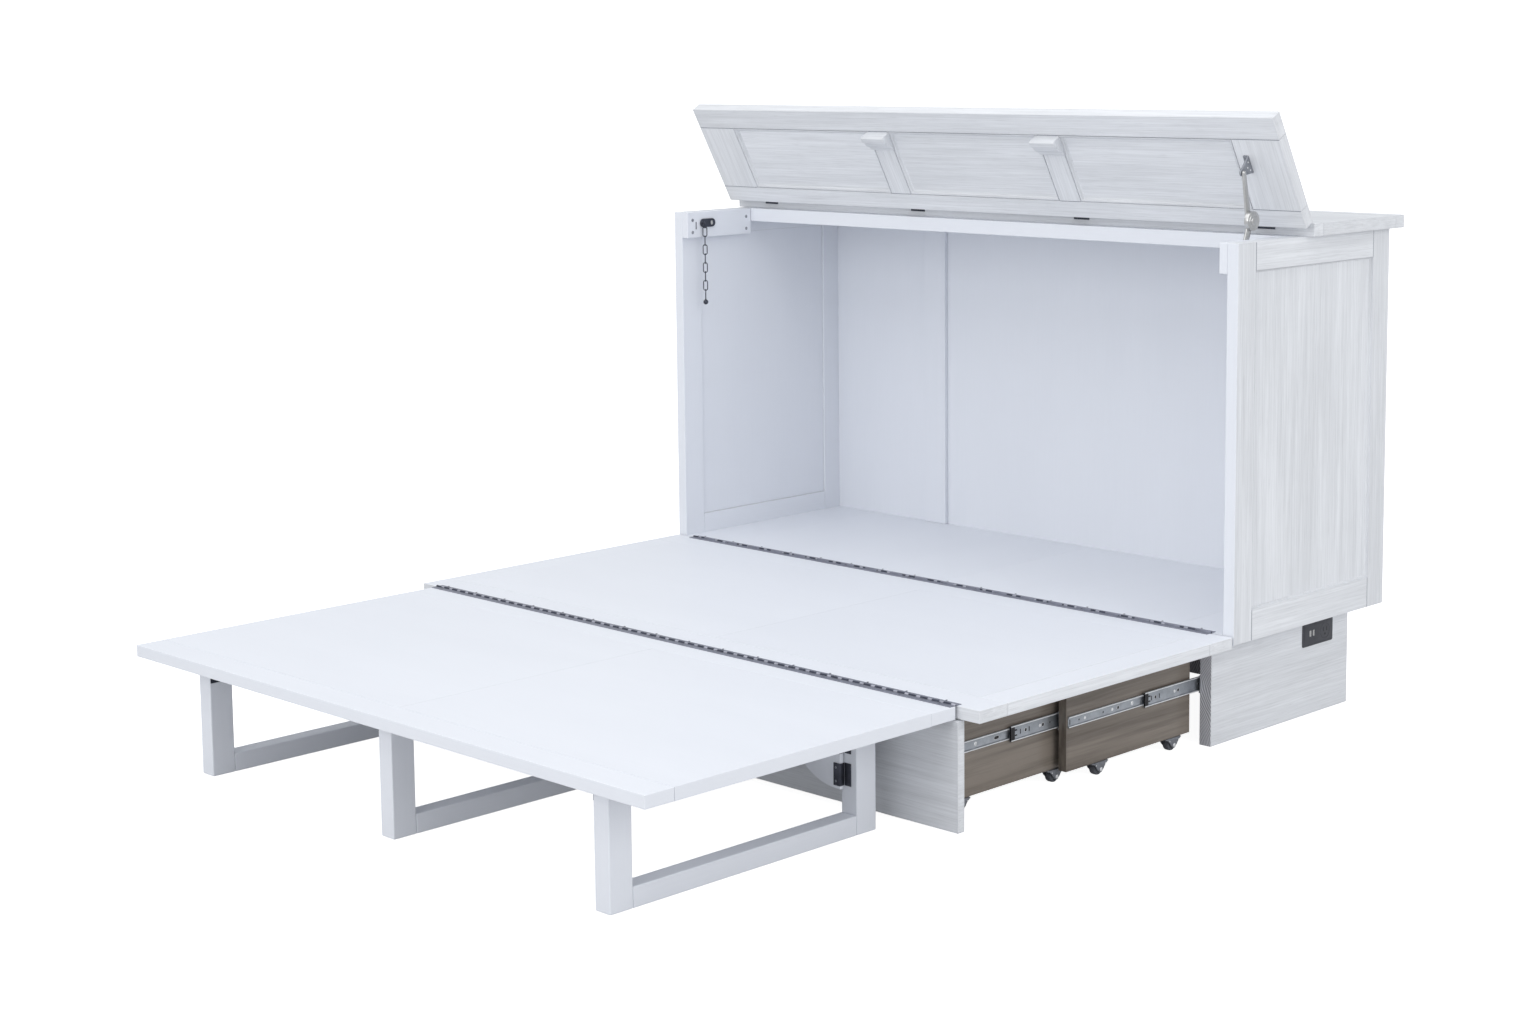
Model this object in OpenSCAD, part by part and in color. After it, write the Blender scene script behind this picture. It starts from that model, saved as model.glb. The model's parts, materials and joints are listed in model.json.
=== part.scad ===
// Cabinet wall bed, drawn open for sleeping: a low chest whose front unfolds
// forward in two panels, with folding sled legs, a two-stage drawer and a lid.

/* [Cabinet] */
// Width over the two side frames
cab_w = 1606; // [1500:1:1700]
// Height from the floor to the top face
cab_h = 1048; // [1000:1:1150]
// Depth from the front plane to the rear of the sides
cab_d = 541; // [500:1:620]
// Thickness of the side frames
side_t = 26; // [20:1:30]
// Height of the plinth that the cabinet stands on
base_h = 226; // [210:1:240]
// Thickness of the fixed top and the lid
top_t = 27; // [22:1:30]
// Width of the fixed top and the lid
top_w = 1644; // [1640:1:1740]

/* [Lid] */
// Depth of the lid, hinge edge to free edge
lid_d = 254; // [240:1:256]
// Angle that the lid stands open from closed
lid_open = 61; // [45:1:75]
// Distance of the lid hinge axis behind the front plane
lid_axis_y = 231; // [229:1:233]

/* [Platform] */
// Height of the sleeping surface
deck_z = 244; // [238:1:250]
// Thickness of the two folding panels
panel_t = 24; // [20:1:26]
// Distance of the second fold in front of the cabinet front plane
fold_y = 771; // [760:1:775]
// Distance of the foot edge in front of the cabinet front plane
foot_y = 1516; // [1500:1:1520]
// Width of the foot panel
foot_w = 1504; // [1480:1:1506]
// Offset of the front panel's board joint from the centre line
front_seam_x = 49; // [0:1:60]
// Offset of the other board joints from the centre line
seam_x = 28; // [0:1:60]

/* [Legs] */
// Distance of the outer legs from the centre line
leg_x = 588; // [560:1:620]
// Thickness of a leg, across the bed
leg_t = 38; // [30:1:40]
// Width of a leg post, along the bed
post_w = 51; // [40:1:60]
// Height of the leg's floor rail
leg_rail_h = 37; // [30:1:40]

/* [Drawer] */
// Width of the drawer front
front_w = 1520; // [1480:1:1540]
// Thickness of the drawer front
front_t = 18; // [16:1:20]
// Travel of the front drawer inside its carriage
drawer_travel = 380.5; // [370:0.5:380.5]
// Travel of the carriage inside the plinth
carriage_travel = 413; // [400:1:413]
// Radius of the small floor wheels
wheel_r = 12.5; // [11:0.5:13]

/* [Hidden] */
$fn = 48;

// Colours
wash = [0.84, 0.85, 0.86];
paint = [0.88, 0.89, 0.93];
stained = [0.45, 0.41, 0.37];
gunmetal = [0.34, 0.35, 0.40];
zinc = [0.62, 0.65, 0.69];
nickel = [0.72, 0.72, 0.72];
slate = [0.23, 0.24, 0.29];
rubber = [0.30, 0.31, 0.33];

// Cabinet derived sizes; y = 0 is the front plane, x = 0 the centre line
side_out = cab_w / 2;
side_in = side_out - side_t;
top_under = cab_h - top_t;
lid_under = top_under + 0.3;
joint_gap = 0.3;
stile_w = 60.5;
side_rail_low = 63.5;
side_rail_high = 57;
inset_out = 8;
inset_in = 4;
back_t = 8;
back_y = cab_d - back_t;
batten_x = 443;
batten_w = 66;
batten_t = 10;
top_front = lid_axis_y + 2;
top_rear = cab_d + 25;
top_lip = 32;
header_t = 22;
header_h = 31;
block_t = 19;
block_d = 210;
block_h = 61;
block_in = side_in - block_t;
// The whole object is moved so that its origin lies under the middle of its box
y_mid = (foot_y - top_rear) / 2;

// Platform
axis_z = deck_z + 1.4;
deck_axis_y = -1;
panel_gap = 3;
deck_t = deck_z - base_h;
front_rail = 76;
foot_rail = 64;
panel_recess = 6;
panel_under = deck_z - panel_t;
front_near = deck_axis_y - panel_gap;
front_far = -fold_y + panel_gap;
foot_near = -fold_y - panel_gap;
foot_half = foot_w / 2;

// Piano hinges: knuckle radius, pin radius, running clearance, leaf width and thickness
barrel_r = 2.6;
pin_r = 1.4;
pin_play = 0.05;
leaf_w = 15;
leaf_t = 1.2;
knuckle_count = 40;
knuckle_facets = 24;
knuckle_gap = 0.4;
piano_half = 750;

// Lid, described shut and then swung open about its axis
lid_axis_z = cab_h + 3;
lid_rear = lid_axis_y - 2;
lid_front = lid_rear - lid_d;
lid_half = top_w / 2;
lid_rail = 50;
lid_hinge_rail = 40;
lid_stile = 114;
mullion_x = 243;
mullion_w = 58;
lid_inset_t = 13;
lid_inset_up = 7;
lid_hinge_xs = [-708, -236, 236, 708];
lid_hinge_len = 42;
keeper_w = 66;
keeper_d = 44;
keeper_h = 25;
keeper_y = 27;

// Lid stay: foot, elbow and lid pivots as [y, z], drawn in the open position
stay_foot_at = [84, 964];
stay_elbow_at = [120, 1056];
stay_lid_at = [103, 1151];
stay_lower_x = 745;
stay_upper_x = 740;
stay_t = 4;
stay_pin_r = 2.5;
disc_r = 20;
disc_t = 10;

// Legs: y span, hinge axis and the flat braces beside the rear posts
leg_near = -826;
leg_far = -1466;
leg_top = panel_under - 0.5;
leg_axis_in = 3;
leg_axis_z = panel_under - 3;
leg_hinge_ys = [leg_near - post_w / 2, leg_far + post_w / 2];
leg_hinge_len = 48;
brace_out = 11;
brace_w = 134;
brace_h = 132;
brace_t = 10;
brace_r = 126;
brace_y = leg_near - post_w - 1.8;
brace_axis_y = brace_y - brace_t - 3;
brace_hinge_len = 60;
catch_w = 15;
catch_h = 42;
catch_t = 1.4;
catch_zs = [88, 148];

// Plinth and drawers
base_out = 726;
base_t = 28;
base_in = base_out - base_t;
base_front = 35;
base_rear = 530;
base_back_t = 18;
front_low = 13;
front_high = panel_under - 2;
front_y = -777;
box_low = 27;
box_high = 190;
drawer_out = 654;
drawer_t = 17;
drawer_rear = -333;
carriage_in = 667;
carriage_out = 686;
carriage_front = base_front - carriage_travel;
carriage_rear = 18;
carriage_high = 214;
tie_t = 12;
tie_d = 60;
slide_z = 124;
slide_thin = 22;
slide_thick = 30;
slide_tall = 36;
slide_t = 3.6;
caster_y_drawer = [-648, -372];
caster_y_carriage = [-275, -38];
caster_len = 50;
caster_w = 26;
cheek_t = 2;
wheel_w = 15;
axle_r = 2.5;

// Chain: links hang under a ring on the left stop block
link_len = 26;
link_w = 12;
wire_r = 1.1;
link_pitch = link_len - 4 * wire_r - 0.3;
chain_x = -748;
chain_y = 47;
eye_z = 988;
eye_r = 5;
chain_links = 8;
upper_links = 4;
ball_r = 6;

// A box between two opposite corners
module slab(low, high) {
    translate(low) cube(high - low);
}

// Everything is drawn in cabinet coordinates and moved to the part's own origin
module placed() {
    translate([0, y_mid, 0]) children();
}

// A round bar along X
module bar_x(x0, x1, y, z, r) {
    translate([x0, y, z]) rotate([0, 90, 0]) cylinder(h = x1 - x0, r = r);
}

// A round bar along Y
module bar_y(y0, y1, x, z, r) {
    translate([x, y0, z]) rotate([-90, 0, 0]) cylinder(h = y1 - y0, r = r);
}

// ---- Cabinet ----

// Stiles and rails of a side frame; side is -1 for left, 1 for right
module side_frame(side) {
    x0 = side > 0 ? side_in : -side_out;
    x1 = x0 + side_t;
    color(wash) placed() {
        slab([x0, 0, base_h], [x1, stile_w, top_under]);
        slab([x0, cab_d - stile_w, base_h], [x1, cab_d, top_under]);
        slab([x0, stile_w + joint_gap, base_h], [x1, cab_d - stile_w - joint_gap, base_h + side_rail_low]);
        slab([x0, stile_w + joint_gap, top_under - side_rail_high], [x1, cab_d - stile_w - joint_gap, top_under]);
    }
}

// Recessed infills of both side frames
module side_insets() {
    low_z = base_h + side_rail_low + joint_gap;
    high_z = top_under - side_rail_high - joint_gap;
    color(wash) placed()
        for (side = [-1, 1])
            slab([side > 0 ? side_in + inset_in : -side_out + inset_out, stile_w + joint_gap, low_z],
                 [side > 0 ? side_out - inset_out : -side_in - inset_in, cab_d - stile_w - joint_gap, high_z]);
}

// Back board with two upright battens on its inner face
module back_panel() {
    color(paint) placed() {
        slab([-side_in, back_y, base_h], [side_in, cab_d, top_under]);
        for (side = [-1, 1])
            slab([side * batten_x - batten_w / 2, back_y - batten_t, deck_z + joint_gap],
                 [side * batten_x + batten_w / 2, back_y - joint_gap, top_under]);
    }
}

// Deck: two end boards and two middle boards
module deck_boards() {
    end_x = 650;
    cuts = [-side_in, -end_x, seam_x, end_x, side_in];
    color(paint) placed()
        for (i = [0 : 3])
            slab([cuts[i] + (i == 0 ? 0 : joint_gap), 2, base_h], [cuts[i + 1], back_y, deck_z]);
}

// Fixed rear part of the top: front lip, field and rear lip
module fixed_top() {
    color(wash) placed() {
        slab([-lid_half, top_front, top_under], [lid_half, top_front + top_lip, cab_h]);
        slab([-lid_half, top_front + top_lip + joint_gap, top_under], [lid_half, top_rear - top_lip - joint_gap, cab_h]);
        slab([-lid_half, top_rear - top_lip, top_under], [lid_half, top_rear, cab_h]);
    }
}

// Rail under the front edge of the fixed top
module header_rail() {
    color(paint) placed()
        slab([-side_in, top_front - header_t, top_under - header_h], [side_in, top_front, top_under]);
}

// Blocks in the upper front corners that carry the lid's stay and the chain
module stop_blocks() {
    color(paint) placed()
        for (x0 = [-side_in, block_in])
            slab([x0, 0, top_under - block_h], [x0 + block_t, block_d, top_under]);
}

// Two plinth sides and the plinth back
module plinth_boards() {
    color(wash) placed() {
        for (x0 = [-base_out, base_in])
            slab([x0, base_front, 0], [x0 + base_t, base_rear, base_h]);
        slab([-base_in + joint_gap, base_rear - base_back_t, 0], [base_in - joint_gap, base_rear, base_h]);
    }
}

// Power outlet on the right plinth side: plate with one mains socket and two charging ports
module outlet_plate() {
    plate_t = 3;
    low = [base_out, 357, 147];
    high = [base_out + plate_t, 469, 197];
    socket_r = 17;
    pocket = 1.6;
    color(slate) placed() difference() {
        slab(low, high);
        bar_x(high.x - pocket, high.x + 1, high.y - 30, (low.z + high.z) / 2, socket_r);
        for (i = [0, 1])
            slab([high.x - pocket, low.y + 18 + 16 * i, 164], [high.x + 1, low.y + 24 + 16 * i, 180]);
    }
}

// Fixed outer members of the plinth slides
module base_slides() {
    color(zinc) placed()
        for (side = [-1, 1])
            slab([side > 0 ? base_in - 4 : -base_in, base_front + 2, slide_z - slide_tall / 2],
                 [side > 0 ? base_in : -base_in + 4, 500, slide_z + slide_tall / 2]);
}

// ---- Piano hinges on the platform ----

// Centre and length of knuckle i along a piano hinge
function knuckle_len(half) = 2 * half / knuckle_count - knuckle_gap;
function knuckle_start(half, i) = -half + i * 2 * half / knuckle_count + knuckle_gap / 2;

// One leaf along an axis at y0; dir is the side that the leaf lies on; parity picks its knuckles
module piano_leaf(y0, dir, half, parity, with_pin) {
    edge = y0 + dir * (barrel_r + 0.3);
    far = y0 + dir * leaf_w;
    $fn = knuckle_facets;
    color(gunmetal) placed() difference() {
        union() {
            slab([-half, min(edge, far), deck_z], [half, max(edge, far), deck_z + leaf_t]);
            for (i = [parity : 2 : knuckle_count - 1]) {
                bar_x(knuckle_start(half, i), knuckle_start(half, i) + knuckle_len(half), y0, axis_z, barrel_r);
                slab([knuckle_start(half, i), min(y0, edge), deck_z],
                     [knuckle_start(half, i) + knuckle_len(half), max(y0, edge), deck_z + leaf_t]);
            }
            if (with_pin) bar_x(-half, half, y0, axis_z, pin_r);
        }
        if (!with_pin) bar_x(-half - 1, half + 1, y0, axis_z, pin_r + pin_play);
    }
}

module deck_hinge_leaf() {
    piano_leaf(deck_axis_y, 1, piano_half, 0, true);
}

module front_panel_leaves() {
    piano_leaf(deck_axis_y, -1, piano_half, 1, false);
    piano_leaf(-fold_y, 1, piano_half, 0, true);
}

module foot_panel_leaf() {
    piano_leaf(-fold_y, -1, piano_half, 1, false);
}

// ---- Folding panels ----

// Front panel frame: two long rails and two end stiles
module front_panel_frame() {
    color(wash) placed() {
        slab([-side_out, front_near - front_rail, panel_under], [side_out, front_near, deck_z]);
        slab([-side_out, front_far, panel_under], [side_out, front_far + front_rail, deck_z]);
        for (side = [-1, 1])
            slab([side > 0 ? side_out - foot_rail : -side_out, front_far + front_rail + joint_gap, panel_under],
                 [side > 0 ? side_out : -side_out + foot_rail, front_near - front_rail - joint_gap, deck_z]);
    }
}

// Front panel boards, flush above and recessed below
module front_panel_boards() {
    x1 = side_out - foot_rail - joint_gap;
    color(paint) placed()
        for (span = [[-x1, front_seam_x - joint_gap], [front_seam_x, x1]])
            slab([span[0], front_far + front_rail + joint_gap, panel_under + panel_recess],
                 [span[1], front_near - front_rail - joint_gap, deck_z]);
}

// Foot panel rails
module foot_panel_frame() {
    color(paint) placed() {
        slab([-foot_half, foot_near - foot_rail, panel_under], [foot_half, foot_near, deck_z]);
        slab([-foot_half, -foot_y, panel_under], [foot_half, -foot_y + foot_rail, deck_z]);
    }
}

// Foot panel boards between its rails
module foot_panel_boards() {
    color(paint) placed()
        for (span = [[-foot_half, seam_x - joint_gap], [seam_x, foot_half]])
            slab([span[0], -foot_y + foot_rail + joint_gap, panel_under],
                 [span[1], foot_near - foot_rail - joint_gap, deck_z]);
}

// Where each leg stands and which way it folds: [centre x, fold direction]
leg_spots = [[leg_x, 1], [0, 1], [-leg_x, -1]];

// x of a leg's hinge axis
function leg_axis_x(spot) = spot[0] - spot[1] * (leg_t / 2 + leg_axis_in);

// Three knuckles in a row along Y; parity 0 keeps the outer two with the pin, 1 the middle one
module butt_knuckles(x, z, y_mid_hinge, len, parity) {
    part = len / 3;
    difference() {
        for (i = parity == 0 ? [0, 2] : [1])
            bar_y(y_mid_hinge - len / 2 + i * part + 0.2, y_mid_hinge - len / 2 + (i + 1) * part - 0.2, x, z, barrel_r);
        if (parity == 1) bar_y(y_mid_hinge - len, y_mid_hinge + len, x, z, pin_r + pin_play);
    }
    if (parity == 0) bar_y(y_mid_hinge - len / 2 + 0.2, y_mid_hinge + len / 2 - 0.2, x, z, pin_r);
}

// Hinge plates under the foot panel for the legs and braces, and a small catch at its rear edge
module foot_panel_plates() {
    plate_w = 24;
    color(gunmetal) placed() {
        for (spot = leg_spots) {
            ax = leg_axis_x(spot);
            for (yc = leg_hinge_ys) {
                x_near = ax - spot[1] * barrel_r / 2;
                x_far = ax - spot[1] * plate_w;
                for (i = [0, 2])
                    slab([min(x_near, x_far), yc - leg_hinge_len / 2 + i * leg_hinge_len / 3 + 0.2, panel_under - leaf_t],
                         [max(x_near, x_far), yc - leg_hinge_len / 2 + (i + 1) * leg_hinge_len / 3 - 0.2, panel_under]);
                slab([min(ax - spot[1] * 3, x_far), yc - leg_hinge_len / 2, panel_under - leaf_t],
                     [max(ax - spot[1] * 3, x_far), yc + leg_hinge_len / 2, panel_under]);
                butt_knuckles(ax, leg_axis_z, yc, leg_hinge_len, 0);
            }
            xc = ax - spot[1] * (brace_w / 2 - brace_out);
            slab([xc - brace_hinge_len / 2, brace_axis_y - plate_w, panel_under - leaf_t],
                 [xc + brace_hinge_len / 2, brace_axis_y - 3, panel_under]);
            for (i = [0, 2]) {
                x0 = xc - brace_hinge_len / 2 + i * brace_hinge_len / 3 + 0.2;
                bar_x(x0, x0 + brace_hinge_len / 3 - 0.4, brace_axis_y, leg_axis_z, barrel_r);
                slab([x0, brace_axis_y - 4, panel_under - leaf_t],
                     [x0 + brace_hinge_len / 3 - 0.4, brace_axis_y, panel_under]);
            }
            bar_x(xc - brace_hinge_len / 2 + 0.2, xc + brace_hinge_len / 2 - 0.2, brace_axis_y, leg_axis_z, pin_r);
        }
        slab([foot_half - 62, foot_near - 22, panel_under - 5], [foot_half - 22, foot_near - 6, panel_under]);
    }
}

// ---- Legs and braces ----

// Sled leg: two posts and a floor rail
module leg(spot) {
    x0 = spot[0] - leg_t / 2;
    x1 = spot[0] + leg_t / 2;
    color(paint) placed() {
        slab([x0, leg_near - post_w, 0], [x1, leg_near, leg_top]);
        slab([x0, leg_far, 0], [x1, leg_far + post_w, leg_top]);
        slab([x0, leg_far + post_w + joint_gap, 0], [x1, leg_near - post_w - joint_gap, leg_rail_h]);
    }
}

// Moving hinge leaves on a leg's posts, and the two catch plates that face its brace
module leg_leaves(spot) {
    ax = leg_axis_x(spot);
    face = spot[0] - spot[1] * leg_t / 2;
    leaf_drop = 30;
    color(gunmetal) placed() {
        for (yc = leg_hinge_ys) {
            slab([min(face, face - spot[1] * leaf_t), yc - leg_hinge_len / 2, leg_axis_z - leaf_drop],
                 [max(face, face - spot[1] * leaf_t), yc + leg_hinge_len / 2, leg_axis_z - 3]);
            difference() {
                slab([min(face, ax), yc - leg_hinge_len / 6 + 0.2, leg_axis_z - 3.5],
                     [max(face, ax), yc + leg_hinge_len / 6 - 0.2, leg_axis_z - 1.2]);
                bar_y(yc - leg_hinge_len, yc + leg_hinge_len, ax, leg_axis_z, pin_r + pin_play);
            }
            butt_knuckles(ax, leg_axis_z, yc, leg_hinge_len, 1);
        }
        for (z0 = catch_zs)
            slab([min(ax + spot[1] * (brace_out + 1.8), ax + spot[1] * (brace_out + 1.8 + catch_w)), leg_near - post_w - catch_t, z0],
                 [max(ax + spot[1] * (brace_out + 1.8), ax + spot[1] * (brace_out + 1.8 + catch_w)), leg_near - post_w, z0 + catch_h]);
    }
}

// Brace: a flat gusset with one rounded corner, hung from the panel beside the rear post
module brace(spot) {
    near = leg_axis_x(spot) + spot[1] * brace_out;
    far = near - spot[1] * brace_w;
    top_z = leg_axis_z - 3;
    low_z = top_z - brace_h;
    xc = (near + far) / 2;
    front = brace_y - brace_t;
    round_x = far + spot[1] * brace_r;
    color(paint) placed() {
        translate([0, brace_y, 0]) rotate([90, 0, 0]) linear_extrude(brace_t) intersection() {
            translate([min(near, far), low_z]) square([brace_w, brace_h]);
            union() {
                translate([min(near, far), low_z + brace_r]) square([brace_w, brace_h - brace_r]);
                translate([min(near, round_x), low_z]) square([brace_w - brace_r, brace_r]);
                translate([round_x, low_z + brace_r]) circle(r = brace_r);
            }
        }
        difference() {
            union() {
                bar_x(xc - brace_hinge_len / 6 + 0.2, xc + brace_hinge_len / 6 - 0.2, brace_axis_y, leg_axis_z, barrel_r);
                slab([xc - brace_hinge_len / 6 + 0.2, brace_axis_y, leg_axis_z - 6],
                     [xc + brace_hinge_len / 6 - 0.2, front + 2, leg_axis_z - 1.2]);
            }
            bar_x(xc - brace_hinge_len, xc + brace_hinge_len, brace_axis_y, leg_axis_z, pin_r + pin_play);
        }
        for (z0 = catch_zs) {
            slab([min(near + spot[1] * 1.2, near - spot[1] * catch_w), front - catch_t, z0],
                 [max(near + spot[1] * 1.2, near - spot[1] * catch_w), front, z0 + catch_h]);
            slab([min(near, near + spot[1] * 1.2), front - catch_t, z0],
                 [max(near, near + spot[1] * 1.2), brace_y, z0 + catch_h]);
        }
    }
}

// ---- Lid ----

// Swings what is drawn shut about the lid axis to its open position
module opened() {
    placed() translate([0, lid_axis_y, lid_axis_z]) rotate([-lid_open, 0, 0])
        translate([0, -lid_axis_y, -lid_axis_z]) children();
}

// Lid rails, end stiles and two mullions
module lid_frame() {
    y0 = lid_front + lid_rail + joint_gap;
    y1 = lid_rear - lid_hinge_rail - joint_gap;
    color(wash) opened() {
        slab([-lid_half, lid_front, lid_under], [lid_half, lid_front + lid_rail, cab_h]);
        slab([-lid_half, lid_rear - lid_hinge_rail, lid_under], [lid_half, lid_rear, cab_h]);
        for (side = [-1, 1])
            slab([side > 0 ? lid_half - lid_stile : -lid_half, y0, lid_under],
                 [side > 0 ? lid_half : -lid_half + lid_stile, y1, cab_h]);
        for (xc = [-mullion_x, mullion_x])
            slab([xc - mullion_w / 2, y0, lid_under], [xc + mullion_w / 2, y1, cab_h]);
    }
}

// Lid infill between the rails, flush above and recessed below
module lid_inset() {
    y0 = lid_front + lid_rail + joint_gap;
    y1 = lid_rear - lid_hinge_rail - joint_gap;
    x_end = lid_half - lid_stile - joint_gap;
    x_mid = mullion_x + mullion_w / 2 + joint_gap;
    x_core = mullion_x - mullion_w / 2 - joint_gap;
    color(wash) opened()
        for (span = [[-x_end, -x_mid], [-x_core, x_core], [x_mid, x_end]])
            slab([span[0], y0, top_under + lid_inset_up], [span[1], y1, cab_h - joint_gap]);
}

// Keeper blocks under the lid that stand behind the folded panels, each with a stepped nose
module lid_keepers() {
    color(wash) opened()
        for (xc = [-mullion_x, mullion_x]) {
            slab([xc - keeper_w / 2, keeper_y, top_under - keeper_h], [xc + keeper_w / 2, keeper_y + keeper_d - 12, lid_under]);
            slab([xc - keeper_w / 2, keeper_y, top_under - 13], [xc + keeper_w / 2, keeper_y + keeper_d, lid_under]);
        }
}

// Lid hinge halves; parity 0 is the cabinet half with the pins, 1 the lid half
module lid_hinge(parity) {
    part = lid_hinge_len / 3;
    face_y = parity == 0 ? top_front : lid_rear;
    dir = parity == 0 ? -1 : 1;
    leaf_y = face_y + dir * 0.8;
    for (xc = lid_hinge_xs) {
        x0 = xc - lid_hinge_len / 2;
        slab([x0, min(face_y, leaf_y), top_under + 11], [x0 + lid_hinge_len, max(face_y, leaf_y), cab_h - 0.2]);
        difference() {
            union()
                for (i = parity == 0 ? [0, 2] : [1]) {
                    bar_x(x0 + i * part + 0.2, x0 + (i + 1) * part - 0.2, lid_axis_y, lid_axis_z, barrel_r);
                    slab([x0 + i * part + 0.2, min(face_y, leaf_y), cab_h - 2],
                         [x0 + (i + 1) * part - 0.2, max(face_y, leaf_y), lid_axis_z]);
                }
            if (parity == 1) bar_x(x0 - 1, x0 + lid_hinge_len + 1, lid_axis_y, lid_axis_z, pin_r + pin_play);
        }
        if (parity == 0) bar_x(x0 + 0.2, x0 + lid_hinge_len - 0.2, lid_axis_y, lid_axis_z, pin_r);
    }
}

module top_hinge_leaves() {
    color(gunmetal) placed() lid_hinge(0);
}

module lid_hinge_leaves() {
    color(gunmetal) opened() lid_hinge(1);
}

// ---- Lid stay ----

// A point given in the open position, as [y, z] in the shut lid's own place
function shut(p) = [
    lid_axis_y + (p[0] - lid_axis_y) * cos(lid_open) - (p[1] - lid_axis_z) * sin(lid_open),
    lid_axis_z + (p[0] - lid_axis_y) * sin(lid_open) + (p[1] - lid_axis_z) * cos(lid_open)];

// Ear on the lid beside the upper arm's end; the arm's end is not pinned to it
module lid_stay_bracket() {
    p = shut(stay_lid_at);
    ear_t = 3.5;
    x1 = stay_upper_x - 1.5;
    x0 = x1 - ear_t;
    color(nickel) opened() {
        bar_x(x0, x1, p[0], p[1], 7);
        translate([x0, 0, 0]) rotate([90, 0, 90]) linear_extrude(ear_t) polygon([
            [p[0] - 6, p[1] - 2], [p[0] + 6, p[1] - 2], [p[0] + 20, lid_under - 2], [p[0] - 20, lid_under - 2]]);
        slab([x0 - 10, p[0] - 20, lid_under - 2], [x1, p[0] + 20, lid_under]);
    }
}

// A flat arm between two pivots, tapering from width w_a to w_b, with round ends
module arm(a, b, x0, w_a, w_b) {
    len = norm(b - a);
    turn = atan2(b[1] - a[1], b[0] - a[0]);
    translate([x0, a[0], a[1]]) rotate([turn, 0, 0]) {
        rotate([90, 0, 90]) linear_extrude(stay_t)
            polygon([[0, -w_a / 2], [len, -w_b / 2], [len, w_b / 2], [0, w_a / 2]]);
        rotate([0, 90, 0]) cylinder(h = stay_t, r = w_a / 2);
        translate([0, len, 0]) rotate([0, 90, 0]) cylinder(h = stay_t, r = w_b / 2);
    }
}

// Foot plate and pivot boss on the right stop block
module stay_foot() {
    color(nickel) placed() {
        slab([block_in - 3, stay_foot_at[0] - 14, top_under - block_h],
             [block_in, stay_foot_at[0] + 14, stay_foot_at[1] + 32]);
        bar_x(stay_lower_x + stay_t + 0.3, block_in - 1, stay_foot_at[0], stay_foot_at[1], 7);
        bar_x(stay_lower_x - 0.5, block_in - 2, stay_foot_at[0], stay_foot_at[1], stay_pin_r);
    }
}

// Lower arm with the round damper housing at the elbow
module stay_lower_arm() {
    color(nickel) placed() difference() {
        union() {
            arm(stay_foot_at, stay_elbow_at, stay_lower_x, 14, 16);
            bar_x(stay_lower_x, stay_lower_x + disc_t, stay_elbow_at[0], stay_elbow_at[1], disc_r);
            bar_x(stay_upper_x - 1, stay_lower_x + 1, stay_elbow_at[0], stay_elbow_at[1], stay_pin_r);
        }
        bar_x(stay_lower_x - 1, stay_lower_x + stay_t + 1, stay_foot_at[0], stay_foot_at[1], stay_pin_r + pin_play);
    }
}

// Upper arm
module stay_upper_arm() {
    color(nickel) placed() difference() {
        arm(stay_elbow_at, stay_lid_at, stay_upper_x, 16, 10);
        bar_x(stay_upper_x - 1, stay_upper_x + stay_t + 1, stay_elbow_at[0], stay_elbow_at[1], stay_pin_r + pin_play);
    }
}

// ---- Drawer and carriage ----

module drawer_front() {
    color(wash) placed()
        slab([-front_w / 2, front_y, front_low], [front_w / 2, front_y + front_t, front_high]);
}

module drawer_sides() {
    color(stained) placed()
        for (x0 = [-drawer_out, drawer_out - drawer_t])
            slab([x0, front_y + front_t, box_low], [x0 + drawer_t, drawer_rear, box_high]);
}

module drawer_back() {
    color(stained) placed()
        slab([-drawer_out + drawer_t, drawer_rear - drawer_t, box_low + 13],
             [drawer_out - drawer_t, drawer_rear, box_high]);
}

module drawer_bottom() {
    color(stained) placed()
        slab([-drawer_out + drawer_t, front_y + front_t, box_low + 4],
             [drawer_out - drawer_t, drawer_rear, box_low + 12]);
}

// Carriage side boards and the tie board that joins them above the drawer
module carriage_boards() {
    color(stained) placed() {
        for (x0 = [-carriage_out, carriage_in])
            slab([x0, carriage_front, box_low], [x0 + carriage_out - carriage_in, carriage_rear, carriage_high]);
        slab([-carriage_in + joint_gap, carriage_rear - tie_d, carriage_high - tie_t],
             [carriage_in - joint_gap, carriage_rear, carriage_high]);
    }
}

// Flat slide members on both sides, starting at distance x from the centre line
module slide_pair(x, y0, y1, height) {
    color(zinc) placed()
        for (side = [-1, 1])
            slab([side > 0 ? x : -x - slide_t, y0, slide_z - height / 2],
                 [side > 0 ? x + slide_t : -x, y1, slide_z + height / 2]);
}

module drawer_slides() {
    slide_pair(drawer_out, front_y + front_t + 2, -355, slide_thin);
}

module drawer_mid_slides() {
    slide_pair(drawer_out + 4.4, -513, -193, slide_thick);
}

module carriage_slides() {
    slide_pair(carriage_in - slide_t, carriage_front + 2, 14, slide_tall);
    slide_pair(carriage_out, carriage_front + 4, 14, slide_thin);
}

module carriage_mid_slides() {
    slide_pair(carriage_out + 4, -141, 259, slide_thick);
}

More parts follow.
